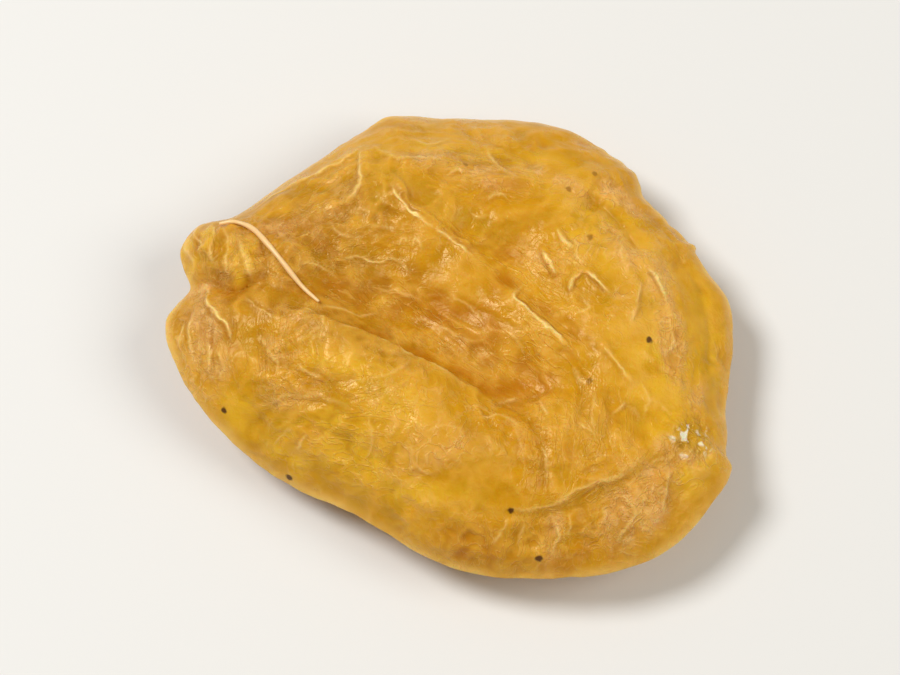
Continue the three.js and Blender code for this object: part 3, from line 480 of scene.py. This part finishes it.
def traced(line, steps=6):
    """A line's points joined by a smooth curve, in short steps."""
    points = np.array(line, float)
    padded = np.vstack([points[:1], points, points[-1:]])
    path = []
    for n in range(len(points) - 1):
        before, start, end, after = padded[n : n + 4]
        for t in np.arange(steps) / steps:
            v0, v1 = (end - before) / 2, (after - start) / 2
            path.append(
                (2 * start - 2 * end + v0 + v1) * t**3
                + (3 * end - 3 * start - 2 * v0 - v1) * t**2
                + v0 * t
                + start
            )
    return np.array(path + [points[-1]])


def lobes_on_top(lobes):
    """Lobes of the top with their middles moved to where they lie."""
    middles = on_top([lobe[0] for lobe in lobes])
    return [(at, *lobe[1:]) for at, lobe in zip(middles, lobes)]


def nearest_on(path, x, y):
    """For each point: distance to the path, side of it, share of its length, and its direction."""
    distance = np.full_like(x, np.inf)
    side, share = np.zeros_like(x), np.zeros_like(x)
    along = np.zeros((len(x), 2))
    for n in range(len(path) - 1):
        a, e = path[n], path[n + 1] - path[n]
        px, py = x - a[0], y - a[1]
        t = np.clip((px * e[0] + py * e[1]) / (e @ e), 0, 1)
        d = np.hypot(px - t * e[0], py - t * e[1])
        closer = d < distance
        distance[closer] = d[closer]
        side[closer] = (e[0] * py - e[1] * px)[closer]
        share[closer] = ((n + t) / (len(path) - 1))[closer]
        along[closer] = e / np.linalg.norm(e)
    return distance, side, share, along


def folds_at(folds, x, y):
    """The rise of all folds at each point, how far they push it sideways, and how much of a sharp
    crest or groove it is."""
    rise_sum, dx, dy, sharp = (np.zeros_like(x) for _ in range(4))
    for line, rise, left, right, lean in folds:
        distance, side, share, along = nearest_on(traced(line), x, y)
        width = np.where(side > 0, left, right)
        rounded = np.hypot(distance, FOLD_SOFTNESS) - FOLD_SOFTNESS
        ends = smoothstep(0, FOLD_TAPER, share) * smoothstep(0, FOLD_TAPER, 1 - share)
        nearness = ends * np.exp(-rounded / width)
        rise_sum += rise * nearness
        dx -= lean * nearness * along[:, 1]
        dy += lean * nearness * along[:, 0]
        sharp += rise * ends * np.exp(-((distance / FOLD_PAINT_WIDTH) ** 2))
    return rise_sum, dx, dy, sharp


def form_at(up_sign, shape, lobes, folds, angle, share):
    """Points of one side without wrinkles, and what the wrinkles and the colours need of them."""
    out, up, from_rim = section_at(shape, share)
    radius = out * outline_radius(angle)
    x, y = radius * np.cos(angle), radius * np.sin(angle)
    rim = np.full_like(x, RIM_HEIGHT)
    for turns, rise, crest in RIM_WAVES:
        rim += rise * out**turns * np.cos(turns * (angle - math.radians(crest)))
    edge = RIM_BEAD["rise"] * np.exp(-((from_rim / RIM_BEAD["width"]) ** 2))
    turned = np.degrees(angle)
    for degrees, half_width, stands_out in RIM_NICKS:
        edge += stands_out * np.exp(-(((turned - degrees) / half_width) ** 2) - from_rim**2)
    scallops = noise_round(RIM_SCALLOPS["round"], angle, np.zeros_like(x), 61)
    edge += RIM_SCALLOPS["rise"] * scallops * np.exp(-from_rim / RIM_SCALLOPS["width"])
    x, y = x + edge * np.cos(angle), y + edge * np.sin(angle)
    inside = 1 - out**10  # folds die out at the rim itself, where top and underside meet
    fold_rise, dx, dy, sharp = folds_at(folds, x, y)
    height = up * (shape["rise"] + lobes_at(lobes, x, y)) + inside * fold_rise
    return {
        "place": np.column_stack([x + inside * dx, y + inside * dy, rim + up_sign * height]),
        "plan": np.column_stack([x, y]),
        "angle": angle,
        "out": out,
        "inside": 1 - 0.75 * out**16,  # wrinkles are lower at the rim
        "from_rim": up_sign * from_rim,
        "sharp": inside * sharp,
    }


def sheet_grid(rings):
    """Angle and share of each corner of a round sheet: ring n has 6 n corners."""
    angles, shares = [np.zeros(1)], [np.zeros(1)]
    for ring in range(1, rings + 1):
        angles.append(2 * math.pi * np.arange(6 * ring) / (6 * ring))
        shares.append(np.full(6 * ring, ring / rings))
    return np.concatenate(angles), np.concatenate(shares)


def sheet_triangles(rings):
    def corner(ring, n):
        return 0 if ring == 0 else 1 + 3 * ring * (ring - 1) + n % (6 * ring)

    triangles = []
    for ring in range(1, rings + 1):
        for sector in range(6):
            for n in range(ring):
                outer, inner = sector * ring + n, sector * (ring - 1) + n
                triangles.append((corner(ring, outer), corner(ring, outer + 1), corner(ring - 1, inner)))
                if n + 1 < ring:
                    triangles.append(
                        (corner(ring - 1, inner), corner(ring, outer + 1), corner(ring - 1, inner + 1))
                    )
    return np.array(triangles)


def add_object(name, data):
    thing = bpy.data.objects.new(name, data)
    bpy.context.scene.collection.objects.link(thing)
    return thing


def add_mesh(name, points, faces, smooth=True):
    mesh = bpy.data.meshes.new(name)
    mesh.from_pydata(points, [], faces)
    mesh.update()
    mesh.polygons.foreach_set("use_smooth", np.full(len(faces), smooth))
    return add_object(name, mesh)


def vertex_normals(points, triangles):
    a, b, c = (points[triangles[:, n]] for n in range(3))
    face = np.cross(b - a, c - a)
    normals = np.zeros_like(points)
    for n in range(3):
        for axis in range(3):
            normals[:, axis] += np.bincount(triangles[:, n], face[:, axis], len(points))
    return normals / np.linalg.norm(normals, axis=1, keepdims=True)


def main_wrinkles(form):
    """The wrinkles that the solid has too."""
    angle, from_rim = form["angle"], form["from_rim"]
    near_rim = smoothstep(0.45, 0.9, form["out"]) * form["inside"]
    puckers = crests(noise_round(PUCKERS["round"], angle, from_rim / PUCKERS["length"], 1))
    rolls = crests(noise_round(RIM_ROLLS["round"], angle, from_rim / RIM_ROLLS["width"], 5))
    rim_rise = PUCKERS["rise"] * puckers + RIM_ROLLS["rise"] * rolls
    u, v, w = (form["place"] / CRINKLES["size"]).T
    bend_u = CRINKLES["bend"] * noise(u / 2, v / 2, w / 2, 11)
    bend_v = CRINKLES["bend"] * noise(u / 2, v / 2, w / 2, 17)
    crinkles = crests(noise(u + bend_u, v + bend_v, w, 23))
    return near_rim * rim_rise + CRINKLES["rise"] * form["inside"] * crinkles, crinkles


def creases_at(form, lobes):
    """The nearest crease of the top: signed distance, above zero on its dark side, and strength."""
    x, y = form["plan"].T
    distances, strengths = np.full_like(x, 9.0), np.zeros_like(x)
    is_top = form["from_rim"] > 0
    for line, strength, dark_side in CREASES:
        path = traced(on_top(line, lobes))
        low, high = path.min(0) - 1, path.max(0) + 1
        near = is_top & (x > low[0]) & (x < high[0]) & (y > low[1]) & (y < high[1])
        distance, side, share, along = nearest_on(path, x[near], y[near])
        ends = smoothstep(0, 0.25, share) * smoothstep(0, 0.25, 1 - share)
        closer = distance < np.abs(distances[near])
        signed = np.where(side * dark_side > 0, distance, -distance)
        distances[near] = np.where(closer, signed, distances[near])
        faded = strength * ends * (1 - smoothstep(*CREASE_REACH, distance))
        strengths[near] = np.where(closer, faded, strengths[near])
    return distances, strengths


def near_spot(form, spot):
    """1 at the middle of a spot of the top, falling to 0 outside its radius."""
    dx, dy = (form["plan"] - on_top([spot["at"]])[0]).T
    return np.exp(-(dx * dx + dy * dy) / spot["radius"] ** 2)


def fine_wrinkles(form, places):
    """The rise of the wrinkles that only this mesh has, and what the colours need of them."""
    x, y, z = places.T
    is_top = form["from_rim"] > 0

    def sized_noise(size, seed, push_x=0, push_y=0):
        return noise(x / size + push_x, y / size + push_y, z / size, seed)

    patch = smoothstep(-0.3, 0.3, sized_noise(PATCH_SIZE, 31))
    bend_u, bend_v = (BENDS["strength"] * sized_noise(BENDS["size"], seed) for seed in (37, 41))
    # every way
    every = crests(sized_noise(EVERY_WAY["size"], 43, bend_u, bend_v), 0.04)
    small = crests(sized_noise(SMALL["size"], 47, bend_v, -bend_u), 0.06)
    # along the rim
    cx, cy = (RINGED["round"] * turned(form["angle"]) for turned in (np.cos, np.sin))
    from_rim = form["from_rim"] / RINGED["width"]
    ring = crests(noise(cx + bend_u / 2, cy + bend_v / 2, from_rim, 53), 0.05)
    near_rim = smoothstep(0.4, 0.8, form["out"])
    # along the valley
    turn = math.radians(VALLEY["turn"])
    u, v = x * math.cos(turn) + y * math.sin(turn), y * math.cos(turn) - x * math.sin(turn)
    lane = noise(u / LANES["length"] + bend_u / 2, v / LANES["width"] + bend_v, z / 3, 59)
    lane = crests(lane, 0.05)
    off_u, off_v = (u - VALLEY["at"][0]) / VALLEY["along"], (v - VALLEY["at"][1]) / VALLEY["across"]
    in_valley = np.exp(-(off_u**2) - off_v**2) * is_top
    # at the wet spot and on the stem end
    wet, nub = (near_spot(form, spot) * is_top for spot in (WET_SPOT, STEM_NUB))
    length = PLEATS["length"]
    pleats = crests(noise(x / PLEATS["width"] + bend_u / 2, y / length, z / length, 67), 0.05)
    off_floor = smoothstep(0.3, 3.0, z)  # what the fruit lies on is pressed flat
    rise = off_floor * form["inside"] * (
        EVERY_WAY["rise"] * (0.25 + 0.75 * patch) * (1 - 0.5 * in_valley) * every
        + SMALL["rise"] * (0.5 + 0.5 * patch) * (1 - 0.5 * in_valley) * small
        + RINGED["rise"] * near_rim * (1 - 0.5 * patch) * ring
        + LANES["rise"] * in_valley * lane
        + WET_SPOT["rise"] * wet * (every + small)
        + nub * (STEM_NUB["rise"] * every + PLEATS["rise"] * pleats)
    )
    crease_line = np.exp(-((form["crease"] / CREASE_RELIEF["width"]) ** 2))
    rise = rise + CREASE_RELIEF["rise"] * np.minimum(form["crease_strength"], 1.2) * crease_line
    return rise, every + 1.6 * nub * pleats, small, patch, wet


def make_skin_form():
    """The skin without its material, with the attributes that the material reads, and how far it
    was shifted from the places as written."""
    angle, share = sheet_grid(RINGS)
    triangles = sheet_triangles(RINGS)
    lobes = lobes_on_top(TOP_LOBES)
    folds = [(on_top(line, lobes), *fold) for line, *fold in TOP_FOLDS]
    top = form_at(1, TOP, lobes, folds, angle, share)
    underside = form_at(-1, UNDERSIDE, UNDERSIDE_LOBES, UNDERSIDE_FOLDS, angle, share)
    corners = len(angle)
    rim_start = corners - 6 * RINGS
    form = {key: np.concatenate([top[key], underside[key][:rim_start]]) for key in top}
    form["crease"], form["crease_strength"] = creases_at(form, lobes)
    below = np.where(triangles < rim_start, triangles + corners, triangles)
    faces = np.vstack([triangles, below[:, [0, 2, 1]]])

    places = form["place"]
    rise, crinkles = main_wrinkles(form)
    places = places + rise[:, None] * vertex_normals(places, faces)
    rise, every, small, patch, wet = fine_wrinkles(form, places)
    places = places + rise[:, None] * vertex_normals(places, faces)
    places[:, 2] = np.maximum(places[:, 2], 0)

    low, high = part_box("apricot")
    shift = (np.array(low) + np.array(high)) / (2 * MM) - (places.min(0) + places.max(0)) / 2
    shift[2] = 0
    places = (places + shift) * MM

    skin = add_mesh("apricot_skin", places.tolist(), faces.tolist())
    x, y = form["plan"].T
    is_top = form["from_rim"] > 0
    blur = 0.75 + 0.6 * noise(x / 1.6, y / 1.6, np.zeros_like(x), 71)

    def tone(lobes, below):
        return np.where(is_top, blur * lobes_at(lobes_on_top(lobes), x, y), below)

    tones = {
        "crest": 0.5 + 0.25 * crinkles + 0.15 * every + 0.1 * small,
        "fold": 0.5 + 0.5 * np.tanh(1.5 * form["sharp"]),
        "rim": np.exp(-((form["from_rim"] / np.where(is_top, 0.6, 0.35)) ** 2)),
        "pale_and_sheen": tone(PALE_AND_SHEEN, 0.3 * patch),
        "clear": tone(CLEAR, 0.4 * (1 - patch)),
        "painted_light": tone(PAINTED_LIGHT, 0),
        "deep_and_shade": tone(DEEP_AND_SHADE, 0.5 * patch),
        "dull_shade": tone(DULL_SHADE, 0.4),
        "patch": patch,
        "wet": wet,
        "crease": form["crease"],
        "crease_strength": form["crease_strength"],
    }
    for turn, places_of_lay in LAYS.items():
        weight = lobes_at(lobes_on_top([(*at, 1) for at in places_of_lay]), x, y) * is_top + 0.25 * ~is_top
        tones[f"lay {turn}"] = np.clip(1.2 * weight, 0, 1)
    for name, values in tones.items():
        attribute = skin.data.attributes.new(name, "FLOAT", "POINT")
        attribute.data.foreach_set("value", values.astype(np.float32))
    return skin, shift


def node_maker(material):
    """The material's emptied node tree, and a function that adds a node with linked or set inputs."""
    material.use_nodes = True
    tree = material.node_tree
    tree.nodes.clear()

    def add(kind, inputs=None, **settings):
        node = tree.nodes.new(kind)
        for key, value in settings.items():
            setattr(node, key, value)
        for key, value in (inputs or {}).items():
            if isinstance(value, bpy.types.NodeSocket):
                tree.links.new(value, node.inputs[key])
            else:
                node.inputs[key].default_value = value
        return node

    return tree, add


def make_material(name, inputs):
    """A material of one plain surface."""
    material = bpy.data.materials.new(name)
    tree, add = node_maker(material)
    surface = add("ShaderNodeBsdfPrincipled", inputs)
    output = add("ShaderNodeOutputMaterial")
    tree.links.new(surface.outputs["BSDF"], output.inputs["Surface"])
    return material


def linear(*srgb):
    """A colour of 0 to 255 as the linear colour that a shader takes."""
    values = [value / 255 for value in srgb]
    return tuple(v / 12.92 if v <= 0.04045 else ((v + 0.055) / 1.055) ** 2.4 for v in values) + (1.0,)


def skin_point(mesh, at, shift):
    """The point of the top's skin at a place as it looks, in metres."""
    x, y = (on_top([at], lobes_on_top(TOP_LOBES))[0] + shift[:2]) * MM
    tops = (vertex.co for vertex in mesh.vertices if vertex.co.z > (RIM_HEIGHT - 0.5) * MM)
    return tuple(min(tops, key=lambda co: math.hypot(co.x - x, co.y - y)))


def make_skin_material(mesh, shift):
    material = bpy.data.materials.new("dried_apricot_skin")
    tree, add = node_maker(material)
    place = add("ShaderNodeTexCoord").outputs["Object"]

    def attribute(name):
        return add("ShaderNodeAttribute", attribute_name=name).outputs["Fac"]

    def mix(factor, a, b):
        return add("ShaderNodeMix", {0: factor, 6: a, 7: b}, data_type="RGBA").outputs[2]

    def math_node(operation, a, b=0.0):
        return add("ShaderNodeMath", {0: a, 1: b}, operation=operation).outputs[0]

    def times(a, b):
        return math_node("MULTIPLY", a, b)

    def minus(a, b):
        return math_node("SUBTRACT", a, b)

    def ramp(value, low, high, to_low=0.0, to_high=1.0):
        inputs = {"Value": value, "From Min": low, "From Max": high, "To Min": to_low, "To Max": to_high}
        return add("ShaderNodeMapRange", inputs, interpolation_type="SMOOTHSTEP").outputs["Result"]

    def noise_texture(scale, detail=4.0, roughness=0.55, distortion=0.0, vector=place):
        inputs = {
            "Vector": vector, "Scale": scale, "Detail": detail, "Roughness": roughness,
            "Distortion": distortion,
        }
        return add("ShaderNodeTexNoise", inputs).outputs["Fac"]

    def spot(at, size, share):
        """How much a point of the skin is in a speck with a ragged edge."""
        centre = skin_point(mesh, at, shift)
        away = add("ShaderNodeVectorMath", {0: place, 1: centre}, operation="DISTANCE").outputs["Value"]
        ragged = math_node("ADD", away, ramp(noise_texture(2200, 1), 0.3, 0.7, -0.06 * MM, 0.06 * MM))
        return ramp(ragged, size * 1.3 * MM, size * 0.6 * MM, 0, share)

    def net(scale, width, distortion):
        """Thin wandering lines: 1 on a line, 0 between them."""
        off_line = math_node("ABSOLUTE", minus(noise_texture(scale, 2, 0.5, distortion), 0.5))
        return ramp(off_line, width, 0.0)

    names = ("crest", "fold", "rim", "patch", "wet", "pale_and_sheen", "clear", "painted_light", "deep_and_shade", "dull_shade")
    crest, fold, rim, patch, wet, pale_and_sheen, clear, painted_light, deep_and_shade, dull_shade = (attribute(name) for name in names)
    crease, strength = attribute("crease"), attribute("crease_strength")

    # the crumpled skin's net of hair-thin wrinkles, broken into short pieces
    broken = ramp(noise_texture(620, 2), 0.42, 0.58)
    coarse_net = times(net(520, 0.045, 1.4), broken)
    fine_net = times(net(1150, 0.06, 1.0), minus(1.0, broken))
    crumpled = math_node("MINIMUM", math_node("ADD", times(patch, 0.4), pale_and_sheen), 1.0)
    smooth_skin = math_node("ADD", clear, times(deep_and_shade, 0.5))
    crumpled = math_node("MAXIMUM", minus(crumpled, smooth_skin), 0.08)
    coarse_net, fine_net = times(coarse_net, crumpled), times(fine_net, crumpled)

    # fine wrinkles that run one way in each place
    calm = ramp(clear, 0.2, 0.9, 1.0, 0.25)
    lay_relief, lay_crest = 0.0, 0.0
    for turn in LAYS:
        inputs = {"Vector": place, "Angle": -math.radians(turn)}
        turned = add("ShaderNodeVectorRotate", inputs, rotation_type="Z_AXIS").outputs[0]
        drawn_out = {0: turned, 1: (0.3, 1.0, 1.0)}
        drawn = add("ShaderNodeVectorMath", drawn_out, operation="MULTIPLY").outputs[0]
        wave = noise_texture(1050, 2, 0.5, 0.8, drawn)
        weight = times(attribute(f"lay {turn}"), calm)
        crest_line = ramp(math_node("ABSOLUTE", minus(wave, 0.53)), 0.035, 0.0)
        lay_relief = math_node("ADD", lay_relief, times(minus(wave, 0.5), weight))
        lay_crest = math_node("ADD", lay_crest, times(crest_line, weight))

    def gauss(value, middle, width):
        off = math_node("DIVIDE", minus(value, middle), width)
        return math_node("EXPONENT", times(times(off, off), -1.0))

    # hairline creases, with a painted highlight along each and a painted shadow beside it
    crease = math_node("ADD", crease, ramp(noise_texture(800, 2), 0.3, 0.7, -0.1, 0.1))
    strength = times(strength, ramp(noise_texture(560, 2), 0.36, 0.56, 0.4, 1.0))
    crease_highlight = times(gauss(crease, 0.0, CREASE_WIDTH), strength)
    crease_shadow = times(gauss(crease, 0.27, 0.14), strength)

    amber = mix(ramp(patch, 0.0, 1.0), linear(213, 152, 8), linear(218, 157, 24))

    def paint(share, *srgb):
        nonlocal amber
        amber = mix(share, amber, linear(*srgb))

    # broad tones of the flesh: olive-gold clouds, a dull brown of painted shade, a deep orange partly of
    # painted shade, a glow of painted light, clear gold, and pale with painted sheen
    paint(ramp(noise_texture(140, 4), 0.35, 0.65, 0, 0.5), 210, 148, 14)
    paint(ramp(dull_shade, 0.1, 1.0, 0, 0.9), 176, 116, 12)
    paint(ramp(deep_and_shade, 0.1, 0.9, 0, 0.85), 188, 114, 4)
    paint(ramp(painted_light, 0.1, 0.9, 0, 0.85), 234, 182, 38)
    paint(ramp(clear, 0.1, 0.9, 0, 0.8), 196, 144, 6)
    paint(ramp(pale_and_sheen, 0.1, 0.9, 0, 0.65), 224, 162, 84)
    clouds = times(ramp(noise_texture(330, 3), 0.5, 0.66, 0, 0.45), ramp(deep_and_shade, 0.1, 0.8, 1.0, 0.2))
    paint(clouds, 192, 138, 10)
    # pale mottling of the crumpled skin with painted sheen, and painted glints in the pale patches
    mottled_sheen = times(ramp(noise_texture(760, 3), 0.47, 0.6), crumpled)
    paint(times(mottled_sheen, 0.55), 240, 186, 106)
    glint_flecks = times(ramp(noise_texture(1000, 2, 0.5, 1.2), 0.55, 0.66), ramp(pale_and_sheen, 0.2, 0.9))
    paint(times(glint_flecks, 0.5), 250, 202, 124)
    # painted highlights on the crests and painted shade in the grooves of the wrinkles and the folds
    paint(ramp(crest, 0.5, 0.15, 0, 0.28), 186, 114, 6)
    paint(ramp(crest, 0.6, 0.95, 0, 0.45), 234, 178, 64)
    paint(ramp(fold, 0.55, 0.95, 0, 0.3), 232, 180, 66)
    paint(ramp(fold, 0.45, 0.15, 0, 0.35), 176, 106, 6)
    # painted highlights along the crumpled skin's hair-thin wrinkles
    paint(times(fine_net, 0.25), 250, 204, 124)
    paint(times(coarse_net, 0.4), 252, 208, 130)
    # painted highlights on the crests of the one-way wrinkles, and painted shade in their lows
    paint(times(lay_crest, 0.3), 244, 190, 92)
    paint(ramp(lay_relief, -0.04, -0.16, 0, 0.35), 184, 118, 10)
    # a painted highlight along the pinched seam of the rim, and the creases' painted shadows and highlights
    paint(times(rim, ramp(noise_texture(260, 3), 0.35, 0.6, 0.3, 0.85)), 252, 206, 106)
    paint(times(crease_shadow, 0.28), 164, 96, 6)
    paint(math_node("MINIMUM", times(crease_highlight, 0.7), 1.0), 255, 216, 132)
    for at in SPECKS:
        paint(spot(at, 0.27, 0.95), 84, 44, 12)
    for at in FAINT_SPECKS:
        paint(spot(at, 0.24, 0.7), 152, 98, 16)
    # glints of the wet spot
    paint(ramp(wet, 0.3, 0.9, 0, 0.5), 196, 150, 24)
    paint(times(ramp(noise_texture(1250, 2, 0.4, 0.5), 0.54, 0.65), ramp(wet, 0.35, 0.7)), 255, 243, 210)

    roughness = ramp(noise_texture(420, 4), 0.35, 0.7, 0.24, 0.42)
    roughness = times(roughness, ramp(wet, 0.2, 0.8, 1.0, 0.3))

    def total(*parts):
        """The sum of heights in millimetres, each a value times its rise."""
        height = 0.0
        for value, rise in parts:
            height = math_node("ADD", height, times(value, rise))
        return height

    height = total(
        (noise_texture(2600, 4, 0.6), 0.03),
        (noise_texture(1100, 3, 0.5), 0.08),
        (mottled_sheen, 0.03),
        (glint_flecks, 0.04),
        (fine_net, 0.05),
        (coarse_net, 0.08),
        (lay_relief, 0.12),
        (lay_crest, 0.04),
        (math_node("MINIMUM", crease_highlight, 1.2), 0.055),
        (crease_shadow, -0.025),
        (times(noise_texture(1500, 2, 0.5, 0.5), wet), 0.5),
    )
    normal = add("ShaderNodeBump", {"Height": height, "Strength": 1.0, "Distance": MM}).outputs["Normal"]

    skin = add("ShaderNodeBsdfPrincipled", {
        "Base Color": amber,
        "Roughness": roughness,
        "Normal": normal,
        "Subsurface Weight": 0.5,
        "Subsurface Radius": (1.0, 0.42, 0.12),
        "Subsurface Scale": 0.0011,
        "Specular IOR Level": 0.36,
        "Specular Tint": (1.0, 0.84, 0.52, 1.0),
    })
    output = add("ShaderNodeOutputMaterial")
    tree.links.new(skin.outputs["BSDF"], output.inputs["Surface"])
    return material


def make_skin():
    skin, shift = make_skin_form()
    skin.data.materials.append(make_skin_material(skin.data, shift))
    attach(skin, "root")
    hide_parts("apricot")
    return skin, shift


def make_strand(skin, shift, sides=10):
    """A tube along STRAND, half sunk in the skin and tapered to both ends."""
    skin_points = np.empty(3 * len(skin.data.vertices))
    skin.data.vertices.foreach_get("co", skin_points)
    skin_points = skin_points.reshape(-1, 3) / MM
    skin_points = skin_points[skin_points[:, 2] > RIM_HEIGHT - 0.5]
    flat = traced(on_top(STRAND, lobes_on_top(TOP_LOBES)), 10) + shift[:2]
    heights = []
    for at in flat:
        away = np.hypot(skin_points[:, 0] - at[0], skin_points[:, 1] - at[1])
        heights.append(skin_points[np.argsort(away)[:8], 2].max())
    heights = np.convolve(np.pad(heights, 3, "edge"), np.ones(7) / 7, "valid")
    path = np.column_stack([flat, heights + STRAND_RISE])
    along = np.gradient(path, axis=0)
    along /= np.linalg.norm(along, axis=1, keepdims=True)
    across = np.cross(along, (0, 0, 1))
    across /= np.linalg.norm(across, axis=1, keepdims=True)
    over = np.cross(across, along)
    share = np.linspace(0, 1, len(path))
    radius = STRAND_RADIUS * (0.25 + 0.75 * np.sin(np.pi * np.clip(0.06 + 0.88 * share, 0, 1)) ** 0.6)
    radius *= 1 + 0.12 * np.sin(23 * share) * np.sin(7.3 * share)
    points, faces = [], []
    for n, centre in enumerate(path):
        for side in range(sides):
            turn = 2 * math.pi * side / sides
            points.append(centre + radius[n] * (math.cos(turn) * across[n] + math.sin(turn) * over[n]))
    for n in range(len(path) - 1):
        for side in range(sides):
            a, b = n * sides + side, n * sides + (side + 1) % sides
            faces.append((a, b, b + sides, a + sides))
    faces.append(tuple(range(sides))[::-1])
    faces.append(tuple(range((len(path) - 1) * sides, len(path) * sides)))
    strand = add_mesh("skin_strand", (np.array(points) * MM).tolist(), faces)
    strand.data.materials.append(make_material("pale_fibre", {
        "Base Color": linear(255, 208, 146),
        "Roughness": 0.35,
        "Subsurface Weight": 0.3,
        "Subsurface Radius": (1.0, 0.5, 0.25),
        "Subsurface Scale": 0.0005,
    }))
    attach(strand, "root")


def make_floor(half=1.5):
    corners = [(-half, -half, 0), (half, -half, 0), (half, half, 0), (-half, half, 0)]
    floor = add_mesh("floor", corners, [(0, 1, 2, 3)], smooth=False)
    paper = {"Base Color": linear(236, 235, 232), "Roughness": 0.6}
    floor.data.materials.append(make_material("pale_floor", paper))


def aim(thing, target):
    direction = Vector(target) - thing.location
    thing.rotation_euler = direction.to_track_quat("-Z", "Y").to_euler()


def add_area_light(name, azimuth, elevation, distance, size, watts, colour=(1, 1, 1)):
    light = bpy.data.lights.new(name, "AREA")
    light.shape = "DISK"
    light.size = size
    light.energy = watts
    light.color = colour
    thing = add_object(name, light)
    a, e = math.radians(azimuth), math.radians(elevation)
    thing.location = distance * Vector((math.sin(a) * math.cos(e), -math.cos(a) * math.cos(e), math.sin(e)))
    aim(thing, MIDDLE)


def make_light():
    world = bpy.data.worlds.new("studio")
    world.use_nodes = True
    background = world.node_tree.nodes["Background"]
    background.inputs["Color"].default_value = (1.0, 0.97, 0.92, 1)
    background.inputs["Strength"].default_value = 0.26
    bpy.context.scene.world = world
    add_area_light("key", azimuth=-110, elevation=56, distance=0.6, size=0.22, watts=2.35)
    warm = (1.0, 0.97, 0.9)
    add_area_light("fill", azimuth=80, elevation=48, distance=0.7, size=0.45, watts=1.9, colour=warm)


def make_camera():
    data = bpy.data.cameras.new("camera")
    data.lens = 120
    data.sensor_width = 36
    data.clip_start = 0.01
    camera = add_object("camera", data)
    elevation = math.radians(VIEW_ELEVATION)
    away = VIEW_DISTANCE * MM * Vector((0, -math.cos(elevation), math.sin(elevation)))
    camera.location = Vector(MIDDLE) + away
    aim(camera, MIDDLE)
    bpy.context.scene.camera = camera


make_camera()
skin, shift = make_skin()
make_strand(skin, shift)
make_floor()
make_light()
bpy.context.scene.view_settings.view_transform = "Standard"
